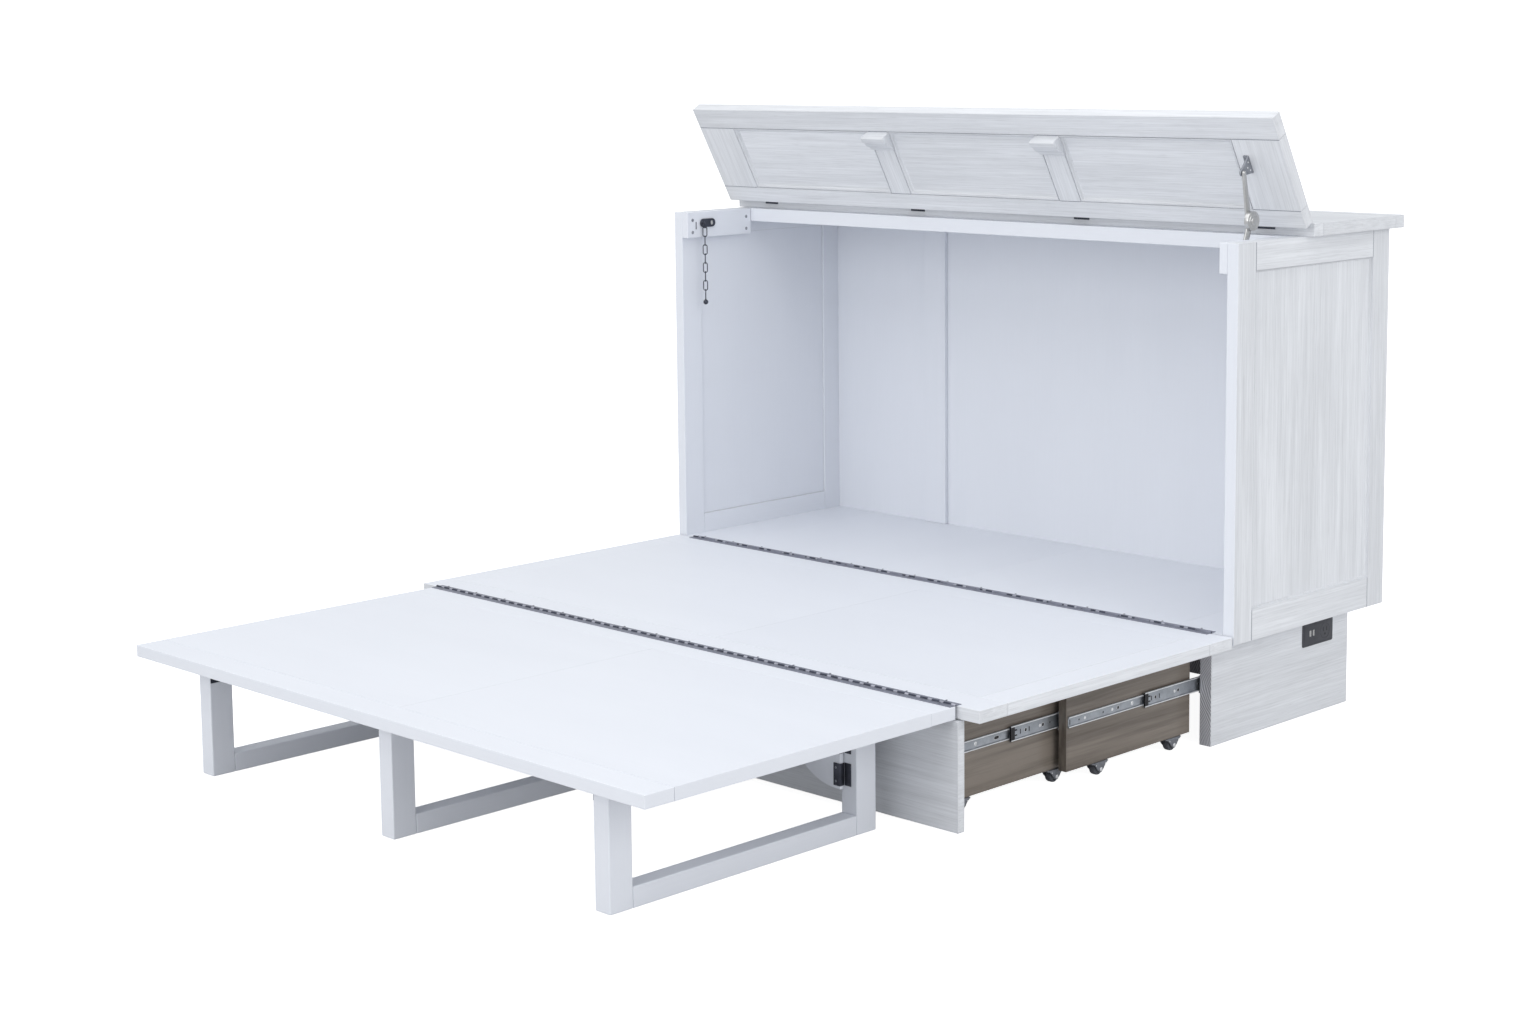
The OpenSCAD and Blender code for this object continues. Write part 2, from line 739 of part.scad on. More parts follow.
// Rigid casters under a pair of boards centred at distance x: top plate, two cheeks and an axle
module caster_forks(x, spots) {
    drop = box_low - 2;
    color(zinc) placed()
        for (side = [-1, 1])
            for (yc = spots) {
                xc = side * x;
                slab([xc - caster_w / 2, yc - caster_len / 2, drop], [xc + caster_w / 2, yc + caster_len / 2, box_low]);
                for (s = [-1, 1])
                    translate([xc + s * (caster_w / 2 - cheek_t / 2) - cheek_t / 2, yc, 0])
                        rotate([90, 0, 90]) linear_extrude(cheek_t) polygon([
                            [-caster_len / 2, drop], [caster_len / 2, drop],
                            [8, wheel_r - 6], [4, wheel_r - 9], [-4, wheel_r - 9], [-8, wheel_r - 6]]);
                bar_x(xc - caster_w / 2 - 1.5, xc + caster_w / 2 + 1.5, yc, wheel_r, axle_r);
            }
}

module drawer_casters() {
    caster_forks(drawer_wheel_x, caster_y_drawer);
}

module carriage_casters() {
    caster_forks(carriage_wheel_x, caster_y_carriage);
}

// A solid wheel with a plain axle hole
module wheel(x, yc) {
    color(rubber) placed() difference() {
        bar_x(x - wheel_w / 2, x + wheel_w / 2, yc, wheel_r, wheel_r);
        bar_x(x - wheel_w, x + wheel_w, yc, wheel_r, axle_r + pin_play);
    }
}

drawer_wheel_x = drawer_out - drawer_t / 2;
carriage_wheel_x = (carriage_in + carriage_out) / 2;

// ---- Chain on the left stop block ----

// Round wire bent into a long loop that stands upright
module chain_link() {
    bend = link_w / 2 - wire_r;
    straight = link_len - 2 * (bend + wire_r);
    for (s = [-1, 1]) {
        translate([s * bend, 0, -straight / 2]) cylinder(h = straight, r = wire_r, $fn = 16);
        translate([0, 0, s * straight / 2]) rotate([90, 0, 0])
            rotate([0, 0, s > 0 ? 0 : 180]) rotate_extrude(angle = 180, $fn = 24)
                translate([bend, 0]) circle(r = wire_r, $fn = 16);
    }
}

// Plate with a ring that the chain hangs from
module chain_eye() {
    plate_y = [40, 88];
    color(gunmetal) placed() {
        slab([-block_in, plate_y[0], eye_z - 4], [-block_in + 2, plate_y[1], eye_z + 16]);
        translate([chain_x, chain_y, eye_z]) rotate([0, 90, 0])
            rotate_extrude($fn = 32) translate([eye_r, 0]) circle(r = wire_r, $fn = 16);
        bar_x(-block_in + 1, chain_x, chain_y, eye_z + eye_r, 2);
    }
}

// Screw heads on both stop blocks
module block_screws() {
    color(zinc) placed()
        for (side = [-1, 1])
            for (yc = [17, 194])
                for (zc = [973, 1002])
                    bar_x(side > 0 ? block_in - 1.2 : -block_in, side > 0 ? block_in : -block_in + 1.2, yc, zc, 4);
}

// Height of the middle of link i
function link_z(i) = eye_z - eye_r + 3 * wire_r + 0.3 - link_len / 2 - i * link_pitch;

// Links first to last, alternating in direction
module chain_run(first, last) {
    for (i = [first : last])
        translate([chain_x, chain_y, link_z(i)]) rotate([0, 0, i % 2 == 0 ? 0 : 90]) chain_link();
}

module chain_upper() {
    color(gunmetal) placed() chain_run(0, upper_links - 1);
}

// Lower half with a ball end
module chain_lower() {
    color(gunmetal) placed() {
        chain_run(upper_links, chain_links - 1);
        translate([chain_x, chain_y, link_z(chain_links - 1) - link_len / 2 - ball_r + 0.6])
            sphere(r = ball_r, $fn = 32);
    }
}

side_frame(-1);  // side_frame_left
side_frame(1);  // side_frame_right
side_insets();
back_panel();
deck_boards();
fixed_top();
header_rail();
stop_blocks();
plinth_boards();
outlet_plate();
base_slides();
deck_hinge_leaf();
top_hinge_leaves();
chain_eye();
block_screws();
stay_foot();
lid_frame();
lid_inset();
lid_keepers();
lid_hinge_leaves();
lid_stay_bracket();
stay_lower_arm();
stay_upper_arm();
front_panel_frame();
front_panel_boards();
front_panel_leaves();
foot_panel_frame();
foot_panel_boards();
foot_panel_leaf();
foot_panel_plates();
leg(leg_spots[0]);  // leg_right
leg(leg_spots[1]);  // leg_middle
leg(leg_spots[2]);  // leg_left
leg_leaves(leg_spots[0]);  // leg_right_leaves
leg_leaves(leg_spots[1]);  // leg_middle_leaves
leg_leaves(leg_spots[2]);  // leg_left_leaves
brace(leg_spots[0]);  // brace_right
brace(leg_spots[1]);  // brace_middle
brace(leg_spots[2]);  // brace_left
drawer_front();
drawer_sides();
drawer_back();
drawer_bottom();
drawer_slides();
drawer_casters();
carriage_boards();
carriage_slides();
carriage_casters();
drawer_mid_slides();
carriage_mid_slides();
wheel(-drawer_wheel_x, caster_y_drawer[0]);  // drawer_wheel_front_left
wheel(drawer_wheel_x, caster_y_drawer[0]);  // drawer_wheel_front_right
wheel(-drawer_wheel_x, caster_y_drawer[1]);  // drawer_wheel_rear_left
wheel(drawer_wheel_x, caster_y_drawer[1]);  // drawer_wheel_rear_right
wheel(-carriage_wheel_x, caster_y_carriage[0]);  // carriage_wheel_front_left
wheel(carriage_wheel_x, caster_y_carriage[0]);  // carriage_wheel_front_right
wheel(-carriage_wheel_x, caster_y_carriage[1]);  // carriage_wheel_rear_left
wheel(carriage_wheel_x, caster_y_carriage[1]);  // carriage_wheel_rear_right
chain_upper();
chain_lower();
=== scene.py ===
import json
import math
import random

import bmesh
import bpy
from mathutils import Matrix, Vector


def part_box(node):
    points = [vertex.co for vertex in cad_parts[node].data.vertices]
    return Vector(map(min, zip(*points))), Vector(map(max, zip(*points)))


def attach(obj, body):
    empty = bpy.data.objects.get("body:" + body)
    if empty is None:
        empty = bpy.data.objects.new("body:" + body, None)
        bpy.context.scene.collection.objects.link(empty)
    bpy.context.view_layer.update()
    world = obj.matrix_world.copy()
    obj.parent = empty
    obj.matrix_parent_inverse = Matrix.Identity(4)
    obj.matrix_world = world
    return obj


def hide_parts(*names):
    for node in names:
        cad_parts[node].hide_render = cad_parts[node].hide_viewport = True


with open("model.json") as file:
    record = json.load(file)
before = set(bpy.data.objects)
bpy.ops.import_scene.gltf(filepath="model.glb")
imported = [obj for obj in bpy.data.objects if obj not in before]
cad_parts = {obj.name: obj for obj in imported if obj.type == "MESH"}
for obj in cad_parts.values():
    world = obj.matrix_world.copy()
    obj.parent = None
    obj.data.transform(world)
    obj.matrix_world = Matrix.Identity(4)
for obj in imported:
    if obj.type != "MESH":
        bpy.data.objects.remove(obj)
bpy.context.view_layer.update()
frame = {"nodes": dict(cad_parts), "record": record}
record = frame["record"]
bodies = record["behaviour"]["bodies"]
joints = {j["name"]: j for j in record["behaviour"]["joints"]}
body_of_node = {n: b for b, nodes in bodies.items() for n in nodes}
rng = random.Random(7)
MM = 0.001
SEG = 2  # steps in each rounded edge of a board
END_STRETCH = 7  # how much finer the grain lies across the end of a board
RIM_GAP = 0.3  # mm by which a moulding starts outside its recess
LEAF_BEVEL = 0.12 * MM
LEAF_MID = 9.5 * MM  # from a piano hinge's axis to the screws in its leaf
WEB = 1.2 * MM  # thickness of a slide's back
WELD = 1e-6  # metres within which vertices are one


# ---------------------------------------------------------------- materials
class Graph:
    """Small helper for building a material's nodes."""

    def __init__(self, name, **sockets):
        self.mat = bpy.data.materials.new(name)
        self.mat.use_nodes = True
        self.tree = self.mat.node_tree
        self.shader = self.tree.nodes["Principled BSDF"]
        for k, v in sockets.items():
            self.shader.inputs[k].default_value = v
        self.uv = self.tree.nodes.new("ShaderNodeUVMap").outputs["UV"]
        self.obj = self.tree.nodes.new("ShaderNodeTexCoord").outputs["Object"]

    def node(self, kind, **inputs):
        n = self.tree.nodes.new(kind)
        for k, v in inputs.items():
            self.set(n.inputs[k], v)
        return n

    def set(self, sock, v):
        if isinstance(v, bpy.types.NodeSocket):
            self.tree.links.new(v, sock)
        else:
            sock.default_value = v

    def noise(self, vec, scale, detail=4.0, rough=0.55, stretch=(1, 1, 1), distort=0.0):
        m = self.node("ShaderNodeMapping", Vector=vec)
        m.inputs["Scale"].default_value = stretch
        n = self.node("ShaderNodeTexNoise", Vector=m.outputs["Vector"], Scale=scale, Detail=detail)
        n.inputs["Roughness"].default_value = rough
        n.inputs["Distortion"].default_value = distort
        return n.outputs["Fac"]

    def ramp(self, fac, *stops):
        r = self.node("ShaderNodeValToRGB", Fac=fac)
        el = r.color_ramp.elements
        while len(el) < len(stops):
            el.new(0.5)
        for e, (p, c) in zip(el, stops):
            e.position = p
            e.color = (c, c, c, 1) if isinstance(c, float) else (*c, 1)
        return r.outputs["Color"]

    def math(self, op, a, b=0.0, clamp=False):
        m = self.tree.nodes.new("ShaderNodeMath")
        m.operation = op
        m.use_clamp = clamp
        self.set(m.inputs[0], a)
        self.set(m.inputs[1], b)
        return m.outputs[0]

    def mul(self, a, b):
        return self.math("MULTIPLY", a, b)

    def add(self, a, b, clamp=False):
        return self.math("ADD", a, b, clamp)

    def swing(self, fac, share):
        """How far a 0 to 1 value is from its middle, scaled."""
        return self.mul(self.math("SUBTRACT", fac, 0.5), share)

    def mix(self, fac, a, b):
        m = self.tree.nodes.new("ShaderNodeMix")
        m.data_type = "RGBA"
        self.set(m.inputs["Factor"], fac)
        self.set(m.inputs["A"], a if isinstance(a, bpy.types.NodeSocket) else (*a, 1))
        self.set(m.inputs["B"], b if isinstance(b, bpy.types.NodeSocket) else (*b, 1))
        return m.outputs["Result"]

    def attr(self, name):
        a = self.tree.nodes.new("ShaderNodeAttribute")
        a.attribute_name = name
        return a.outputs["Fac"]

    def bump(self, height, strength, distance):
        b = self.node("ShaderNodeBump", Height=height, Strength=strength, Distance=distance)
        self.tree.links.new(b.outputs["Normal"], self.shader.inputs["Normal"])

    def out(self, name, value):
        self.set(self.shader.inputs[name], value)


def wood(name, dark, light, grey, streak, broad, pores, wear, rough, bump):
    """Straight-grained board: U runs along the grain and V across it, both in metres."""
    g = Graph(name)
    fine = g.noise(g.uv, 1.0, 6.0, 0.62, (5.0, 300.0, 1))
    mid = g.noise(g.uv, 1.0, 4.0, 0.6, (2.2, 60.0, 1), 0.25)
    wide = g.noise(g.uv, 1.0, 3.0, 0.5, (1.1, 9.0, 1), 0.4)
    pore = g.noise(g.uv, 1.0, 2.0, 0.5, (16.0, 900.0, 1))
    f = g.swing(fine, streak)
    m = g.swing(mid, broad)
    w = g.swing(wide, broad * 0.8)
    t = g.swing(g.attr("tone"), 0.35)
    fac = g.add(g.add(g.add(g.add(f, m), w), t), 0.5, clamp=True)
    col = g.mix(fac, dark, light)
    pit = g.ramp(pore, (0.30, 1.0), (0.40, 0.0))
    pit_s = g.mul(pit, pores)
    col = g.mix(pit_s, col, grey)
    worn = g.mul(g.attr("edge"), g.mul(g.ramp(mid, (0.35, 0.0), (0.75, 1.0)), wear))
    col = g.mix(worn, col, grey)
    g.out("Base Color", col)
    g.out("Roughness", g.add(g.mul(fine, 0.16), rough - 0.08))
    h = g.math("SUBTRACT", fine, g.mul(pit, 0.8))
    g.bump(h, bump, 0.0006)
    return g.mat


def painted(name, base, shade, rough):
    """Sprayed paint over a smooth board, with a trace of the grain below."""
    g = Graph(name)
    fine = g.noise(g.uv, 1.0, 5.0, 0.6, (7.0, 260.0, 1))
    wide = g.noise(g.uv, 1.0, 3.0, 0.5, (1.6, 7.0, 1), 0.3)
    peel = g.noise(g.obj, 420.0, 2.0, 0.5)
    f = g.swing(fine, 0.7)
    w = g.swing(wide, 0.8)
    t = g.swing(g.attr("tone"), 0.4)
    fac = g.add(g.add(g.add(f, w), t), 0.5, clamp=True)
    col = g.mix(fac, shade, base)
    worn = g.mul(g.attr("edge"), g.mul(g.ramp(fine, (0.55, 0.0), (0.8, 1.0)), 0.16))
    col = g.mix(worn, col, (0.60, 0.60, 0.60))
    g.out("Base Color", col)
    g.out("Roughness", g.add(g.mul(wide, 0.14), rough - 0.07))
    h = g.add(g.mul(fine, 0.5), g.mul(peel, 0.5))
    g.bump(h, 0.06, 0.0005)
    return g.mat


def metal(name, base, shade, rough, spread, metallic, scratch=0.25, scale=90.0, bump=0.05):
    """Clouded metal with a few bright scratches."""
    g = Graph(name, Metallic=metallic)
    cloud = g.noise(g.obj, scale, 4.0, 0.6)
    fine = g.noise(g.obj, scale * 9, 3.0, 0.6)
    fac = g.add(g.mul(cloud, 0.7), g.mul(fine, 0.3))
    col = g.mix(g.ramp(fac, (0.32, 0.0), (0.68, 1.0)), shade, base)
    scr = g.ramp(g.noise(g.obj, scale * 5, 2.0, 0.4, (1, 9, 9)), (0.66, 0.0), (0.74, 1.0))
    bright = tuple(min(1.0, c * 1.5 + 0.05) for c in base)
    col = g.mix(g.mul(scr, scratch), col, bright)
    g.out("Base Color", col)
    g.out("Roughness", g.add(g.mul(fac, spread), rough - spread * 0.5))
    g.bump(fine, bump, 0.0003)
    return g.mat


def plastic(name, base, shade, rough, scale=260.0, bump=0.08):
    """Finely grained plastic with a little dust."""
    g = Graph(name)
    grain = g.noise(g.obj, scale, 4.0, 0.6)
    cloud = g.noise(g.obj, scale * 0.08, 3.0, 0.5)
    col = g.mix(g.ramp(cloud, (0.35, 0.0), (0.65, 1.0)), shade, base)
    dust = g.ramp(grain, (0.62, 0.0), (0.80, 1.0))
    col = g.mix(g.mul(dust, 0.18), col, tuple(min(1.0, c + 0.12) for c in base))
    g.out("Base Color", col)
    g.out("Roughness", g.add(g.mul(grain, 0.2), rough - 0.1))
    g.bump(grain, bump, 0.0003)
    return g.mat


def end_grain(name, dark, light, rough):
    """Sawn end of a board: slanting growth rings."""
    g = Graph(name)
    warp = g.noise(g.obj, 9.0, 3.0, 0.5)
    part = g.node("ShaderNodeSeparateXYZ")
    g.tree.links.new(g.obj, part.inputs[0])
    lean = g.add(g.mul(part.outputs["X"], 2.2), part.outputs["Z"])
    lean = g.add(lean, g.mul(warp, 0.10))
    ring = g.math("SINE", g.mul(lean, 620.0), 0.0)
    fine = g.noise(g.obj, 700.0, 3.0, 0.6)
    f = g.add(g.mul(ring, 0.38), g.mul(g.add(fine, warp), 0.5), clamp=True)
    g.out("Base Color", g.mix(f, dark, light))
    g.out("Roughness", g.add(g.mul(fine, 0.2), rough))
    g.bump(f, 0.2, 0.0005)
    return g.mat


def piano(name, axis_y):
    """Long hinge: blue-grey leaves, the knuckle row painted dark as shade, and painted highlights where the
    knuckles meet.
    """
    g = Graph(name, Metallic=0.45)
    cloud = g.noise(g.obj, 60.0, 4.0, 0.6)
    fine = g.noise(g.obj, 520.0, 3.0, 0.6, (0.25, 1, 1))
    part = g.node("ShaderNodeSeparateXYZ")
    g.tree.links.new(g.obj, part.inputs[0])
    off = g.math("ABSOLUTE", g.math("SUBTRACT", part.outputs["Y"], axis_y), 0.0)
    row = g.ramp(g.mul(off, 100.0), (0.24, 1.0), (0.32, 0.0))
    pitch = g.math("FRACT", g.mul(part.outputs["X"], 36.0), 0.0)
    gap = g.ramp(pitch, (0.62, 0.0), (0.70, 1.0))
    col = g.mix(cloud, (0.185, 0.195, 0.245), (0.265, 0.275, 0.33))
    barrel_shade_and_highlight = g.mix(gap, (0.045, 0.05, 0.075), (0.40, 0.41, 0.47))
    g.out("Base Color", g.mix(row, col, barrel_shade_and_highlight))
    g.out("Roughness", g.add(g.mul(fine, 0.25), 0.32))
    g.bump(fine, 0.06, 0.0003)
    return g.mat


# dark end grain for the plinth's front faces: real rings, made darker than the wood as painted shade under
# the bed
END_GRAIN_AND_SHADE = end_grain("whitewashed_end_grain", (0.26, 0.265, 0.30), (0.84, 0.84, 0.88), 0.55)
WASH = wood(
    "whitewashed_grain", (0.62, 0.634, 0.66), (0.85, 0.868, 0.902), (0.40, 0.405, 0.42), 1.35, 1.1,
    0.32, 0.22, 0.55, 0.22
)
PAINT = painted("cool_white_paint", (0.79, 0.812, 0.862), (0.745, 0.768, 0.822), 0.46)
STAIN = wood(
    "taupe_stain", (0.128, 0.108, 0.090), (0.262, 0.226, 0.192), (0.100, 0.083, 0.070), 0.35, 2.3,
    0.10, 0.30, 0.24, 0.05
)
GUN = metal("gunmetal", (0.085, 0.090, 0.115), (0.045, 0.048, 0.062), 0.42, 0.22, 0.75)
ZINC = metal("zinc_plate", (0.50, 0.53, 0.57), (0.34, 0.365, 0.40), 0.34, 0.26, 0.85, 0.2, 60.0)
# bright zinc for rivets, axles and screws, also used as painted highlight on the slides' lips, hole rims and
# dimples
BRIGHT_ZINC_AND_HIGHLIGHT = metal("polished_zinc", (0.90, 0.905, 0.91), (0.76, 0.77, 0.79), 0.3, 0.12, 0.25, 0.1, 60.0)
FORK = metal("grey_zinc", (0.36, 0.375, 0.41), (0.24, 0.25, 0.28), 0.45, 0.25, 0.7, 0.25, 80.0)
NICKEL = metal("satin_nickel", (0.62, 0.62, 0.61), (0.50, 0.50, 0.50), 0.30, 0.16, 0.95, 0.15, 70.0, 0.03)
SLATE = plastic("slate_plate", (0.050, 0.052, 0.064), (0.036, 0.038, 0.048), 0.42)
# black plastic for the slides' clips, also painted shade in hole mouths and in the outlet's openings
BLACK_PLASTIC_AND_SHADE = plastic("black_plastic", (0.020, 0.020, 0.023), (0.012, 0.012, 0.014), 0.5)
PALE = plastic("pale_tongue", (0.55, 0.55, 0.54), (0.45, 0.45, 0.45), 0.45)
TYRE = plastic("grey_tyre", (0.13, 0.135, 0.155), (0.085, 0.09, 0.105), 0.62, 300.0, 0.2)
HUB = plastic("wheel_hub", (0.16, 0.17, 0.19), (0.11, 0.12, 0.135), 0.4)


# ---------------------------------------------------------------- geometry helpers
def at_limit(name):
    """Matrix that moves a body drawn at rest to the upper limit of its joint."""
    j = joints[name]
    p = Vector(j["pos_m"])
    turn = Matrix.Rotation(math.radians(j["range_deg"][1]), 4, Vector(j["axis"]))
    return Matrix.Translation(p) @ turn @ Matrix.Translation(-p)


SHUT = at_limit("lid_fold")
OPEN = SHUT.inverted()


def islands(node, to=None):
    """Boxes of a CAD node's separate solids, measured after the matrix `to`."""
    bm = bmesh.new()
    bm.from_mesh(frame["nodes"][node].data)
    if to is not None:
        bm.transform(to)
    bmesh.ops.remove_doubles(bm, verts=bm.verts, dist=WELD)
    seen, out = set(), []
    for v in bm.verts:
        if v in seen:
            continue
        stack, part = [v], []
        seen.add(v)
        while stack:
            a = stack.pop()
            part.append(a.co.copy())
            for e in a.link_edges:
                b = e.other_vert(a)
                if b not in seen:
                    seen.add(b)
                    stack.append(b)
        lo = Vector([min(c[i] for c in part) for i in range(3)])
        hi = Vector([max(c[i] for c in part) for i in range(3)])
        out.append((lo, hi))
    bm.free()
    return sorted(out, key=lambda b: tuple(round(c, 4) for c in b[0]))


def settle(obj, node=None, body=None, replace=None):
    """Puts a finished piece on its body and hides the CAD nodes it replaces."""
    body = body or body_of_node[node]
    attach(obj, body)
    if replace:
        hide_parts(*replace)


def link(name, data):
    obj = bpy.data.objects.new(name, data)
    bpy.context.scene.collection.objects.link(obj)
    return obj


def ticks(length, r):
    """Grid lines of a rounded box along a side of this length."""
    a = [r * (1 - math.tan(math.radians(45) * (1 - k / SEG))) for k in range(SEG)]
    t = a + [r, r + min(4 * MM, (length / 2 - r) / 2)]
    return t + [length - x for x in reversed(t)]


class Boards:
    """Collects rounded boards with grain, tone and edge data into one mesh."""

    def __init__(self, mats):
        self.mats = mats
        self.verts, self.normals, self.faces, self.uvs, self.index = [], [], [], [], []
        self.edge, self.tone = [], []

    def add(self, lo, hi, grain, r, pick, to=None):
        size = [hi[i] - lo[i] for i in range(3)]
        if grain is None:
            grain = max(range(3), key=lambda i: size[i])
        rad = min(r, *(s * 0.45 for s in size))
        tk = [ticks(s, rad) for s in size]
        shift = (rng.uniform(0, 9), rng.uniform(0, 9))
        tone = rng.uniform(0.15, 0.85)
        keys = {}
        spin = to.to_3x3() if to is not None else None
        for n in range(3):
            a, b = (n + 1) % 3, (n + 2) % 3
            for side in (0, 1):
                grid = []
                for x in tk[a]:
                    row = []
                    for y in tk[b]:
                        p = [0.0, 0.0, 0.0]
                        p[n], p[a], p[b] = size[n] * side, x, y
                        key = tuple(round(c, 7) for c in p)
                        if key not in keys:
                            q = Vector([min(max(p[i], rad), size[i] - rad) for i in range(3)])
                            d = (Vector(p) - q).normalized()
                            at = Vector(lo) + q + d * rad
                            gaps = sorted(min(p[i], size[i] - p[i]) for i in range(3))
                            keys[key] = len(self.verts)
                            self.verts.append(to @ at if to is not None else at)
                            self.normals.append(spin @ d if spin is not None else d)
                            self.edge.append(1.0 if gaps[1] < rad * 1.01 else 0.0)
                            self.tone.append(tone)
                        row.append((keys[key], p))
                    grid.append(row)
                mat = pick(n, 1 if side else -1) if pick else 0
                for i in range(len(tk[a]) - 1):
                    for j in range(len(tk[b]) - 1):
                        quad = [grid[i][j], grid[i + 1][j], grid[i + 1][j + 1], grid[i][j + 1]]
                        if not side:
                            quad.reverse()
                        self.faces.append([q[0] for q in quad])
                        self.index.append(mat)
                        for _, p in quad:
                            if n == grain:
                                u, v = p[a] * END_STRETCH, p[b]
                            else:
                                u, v = p[grain], p[3 - n - grain]
                            self.uvs.append((u + shift[0], v + shift[1] + n * 3.1))

    def build(self, name):
        me = bpy.data.meshes.new(name)
        me.from_pydata([tuple(v) for v in self.verts], [], self.faces)
        for m in self.mats:
            me.materials.append(m)
        me.polygons.foreach_set("material_index", self.index)
        me.polygons.foreach_set("use_smooth", [True] * len(self.faces))
        uv = me.uv_layers.new(name="UVMap")
        uv.data.foreach_set("uv", [c for p in self.uvs for c in p])
        for key, values in (("edge", self.edge), ("tone", self.tone)):
            me.attributes.new(key, "FLOAT", "POINT").data.foreach_set("value", values)
        me.update()
        me.normals_split_custom_set_from_vertices([tuple(n) for n in self.normals])
        return link(name, me)


def boards(node, mats, r=1.2, grain=None, pick=None, to=None):
    """Replaces a CAD node's plain boards with grained ones, rounded to r mm."""
    b = Boards(mats)
    for k, (lo, hi) in enumerate(islands(node, to)):
        g = grain(k, lo, hi) if callable(grain) else grain
        b.add(lo, hi, g, r * MM, pick, to.inverted() if to is not None else None)
    settle(b.build(node + "_wood"), node, replace=[node])


def from_bm(bm, name, mats, angle):
    """Linked object of a finished mesh, sharp where faces turn by more than angle degrees."""
    bmesh.ops.recalc_face_normals(bm, faces=bm.faces)
    me = bpy.data.meshes.new(name)
    bm.to_mesh(me)
    bm.free()
    for m in mats:
        me.materials.append(m)
    me.polygons.foreach_set("use_smooth", [True] * len(me.polygons))
    me.set_sharp_from_angle(angle=math.radians(angle))
    return link(name, me)


def stand_in(bm, name, mats, angle, node):
    """Puts a finished mesh in the place of a CAD node."""
    settle(from_bm(bm, name, mats, angle), node, replace=[node])


def span(c, half):
    """Two coordinates, this many millimetres either side of c."""
    return c - half * MM, c + half * MM


def inset(a, b, gap):
    """The stretch from a to b, this many millimetres shorter at both ends."""
    return a + gap * MM, b - gap * MM


def round_rect(x0, x1, y0, y1, r, n=5):
    """Rectangle with corners rounded to r, each in n steps."""
    out = []
    corners = ((x1 - r, y1 - r, 0), (x0 + r, y1 - r, 90), (x0 + r, y0 + r, 180), (x1 - r, y0 + r, 270))
    for cx, cy, start in corners:
        out += arc(cx, cy, r, [start + 90 * k / n for k in range(n + 1)])
    return out


def arc(cx, cy, r, degrees):
    turns = [math.radians(d) for d in degrees]
    return [(cx + r * math.cos(a), cy + r * math.sin(a)) for a in turns]


def circle(cx, cy, r, n=20):
    return arc(cx, cy, r, [360 * k / n for k in range(n)])


def prism(bm, outline, axis, a, b, bevel=0.0, mat=0, segments=2):
    """Extrudes a 2-D outline, given in the next two axes, from a to b along axis, with softened edges."""
    u, v = (axis + 1) % 3, (axis + 2) % 3
    verts = []
    for x, y in outline:
        p = [0.0, 0.0, 0.0]
        p[axis], p[u], p[v] = a, x, y
        verts.append(bm.verts.new(p))
    ext = bmesh.ops.extrude_face_region(bm, geom=[bm.faces.new(verts)])
    moved = [g for g in ext["geom"] if isinstance(g, bmesh.types.BMVert)]
    d = [0.0, 0.0, 0.0]
    d[axis] = b - a
    bmesh.ops.translate(bm, verts=moved, vec=d)
    faces = {f for vert in verts + moved for f in vert.link_faces}
    if bevel > 0:
        edges = {e for f in faces if len(f.verts) == len(outline) for e in f.edges}
        res = bmesh.ops.bevel(
            bm, geom=list(edges), offset=bevel, segments=segments, profile=0.5,
            affect="EDGES", clamp_overlap=True,
        )
        faces = {f for f in [*faces, *res["faces"]] if f.is_valid}
    queue = list(faces)
    while queue:
        for edge in queue.pop().edges:
            for f in edge.link_faces:
                if f not in faces:
                    faces.add(f)
                    queue.append(f)
    for f in faces:
        f.material_index = mat


def circle_verts(bm, centre, axis, height, radius, n):
    """Vertices round an axis through centre, or a single one where the radius is nil."""
    u, v = (axis + 1) % 3, (axis + 2) % 3
    out = []
    for k in range(n if radius > 1e-7 else 1):
        a = 2 * math.pi * k / n
        p = list(centre)
        p[axis] += height
        p[u] += radius * math.cos(a)
        p[v] += radius * math.sin(a)
        out.append(bm.verts.new(p))
    return out


def skin(bm, rings, n, mat=0):
    """Faces between neighbouring rings of n vertices, or of one vertex at a tip."""
    for a, b in zip(rings, rings[1:]):
        for k in range(n):
            quad = []
            for w in (a[k % len(a)], a[(k + 1) % len(a)], b[(k + 1) % len(b)], b[k % len(b)]):
                if w not in quad:
                    quad.append(w)
            if len(quad) > 2:
                bm.faces.new(quad).material_index = mat


def lathe(bm, profile, axis, centre, n=32, mat=0):
    """Turns a profile of (distance along axis, radius) about an axis through centre."""
    skin(bm, [circle_verts(bm, centre, axis, h, r, n) for h, r in profile], n, mat)


def screw(bm, centre, axis, sign, r, mat, dome, turn):
    """Low-domed screw head with a cross recess, seated at centre and facing along sign * axis."""
    u, v = (axis + 1) % 3, (axis + 2) % 3
    n, steps = 28, 9
    rings = []
    arm, half = r * 0.62, r * 0.15
    for i in range(steps + 1):
        rad = r * i / steps
        ring = []
        for k in range(n if i else 1):
            a = 2 * math.pi * k / n
            x, y = rad * math.cos(a), rad * math.sin(a)
            xr = abs(x * math.cos(turn) - y * math.sin(turn))
            yr = abs(x * math.sin(turn) + y * math.cos(turn))
            h = r * dome * (1 - (i / steps) ** 2.4)
            if (xr < half and yr < arm) or (yr < half and xr < arm):
                h -= r * 0.30
            p = list(centre)
            p[axis] += sign * (h + 0.05 * MM)
            p[u] += x
            p[v] += y
            ring.append(bm.verts.new(p))
        rings.append(ring)
    rings.append(circle_verts(bm, centre, axis, -sign * 0.2 * MM, r, n))
    skin(bm, rings, n, mat)


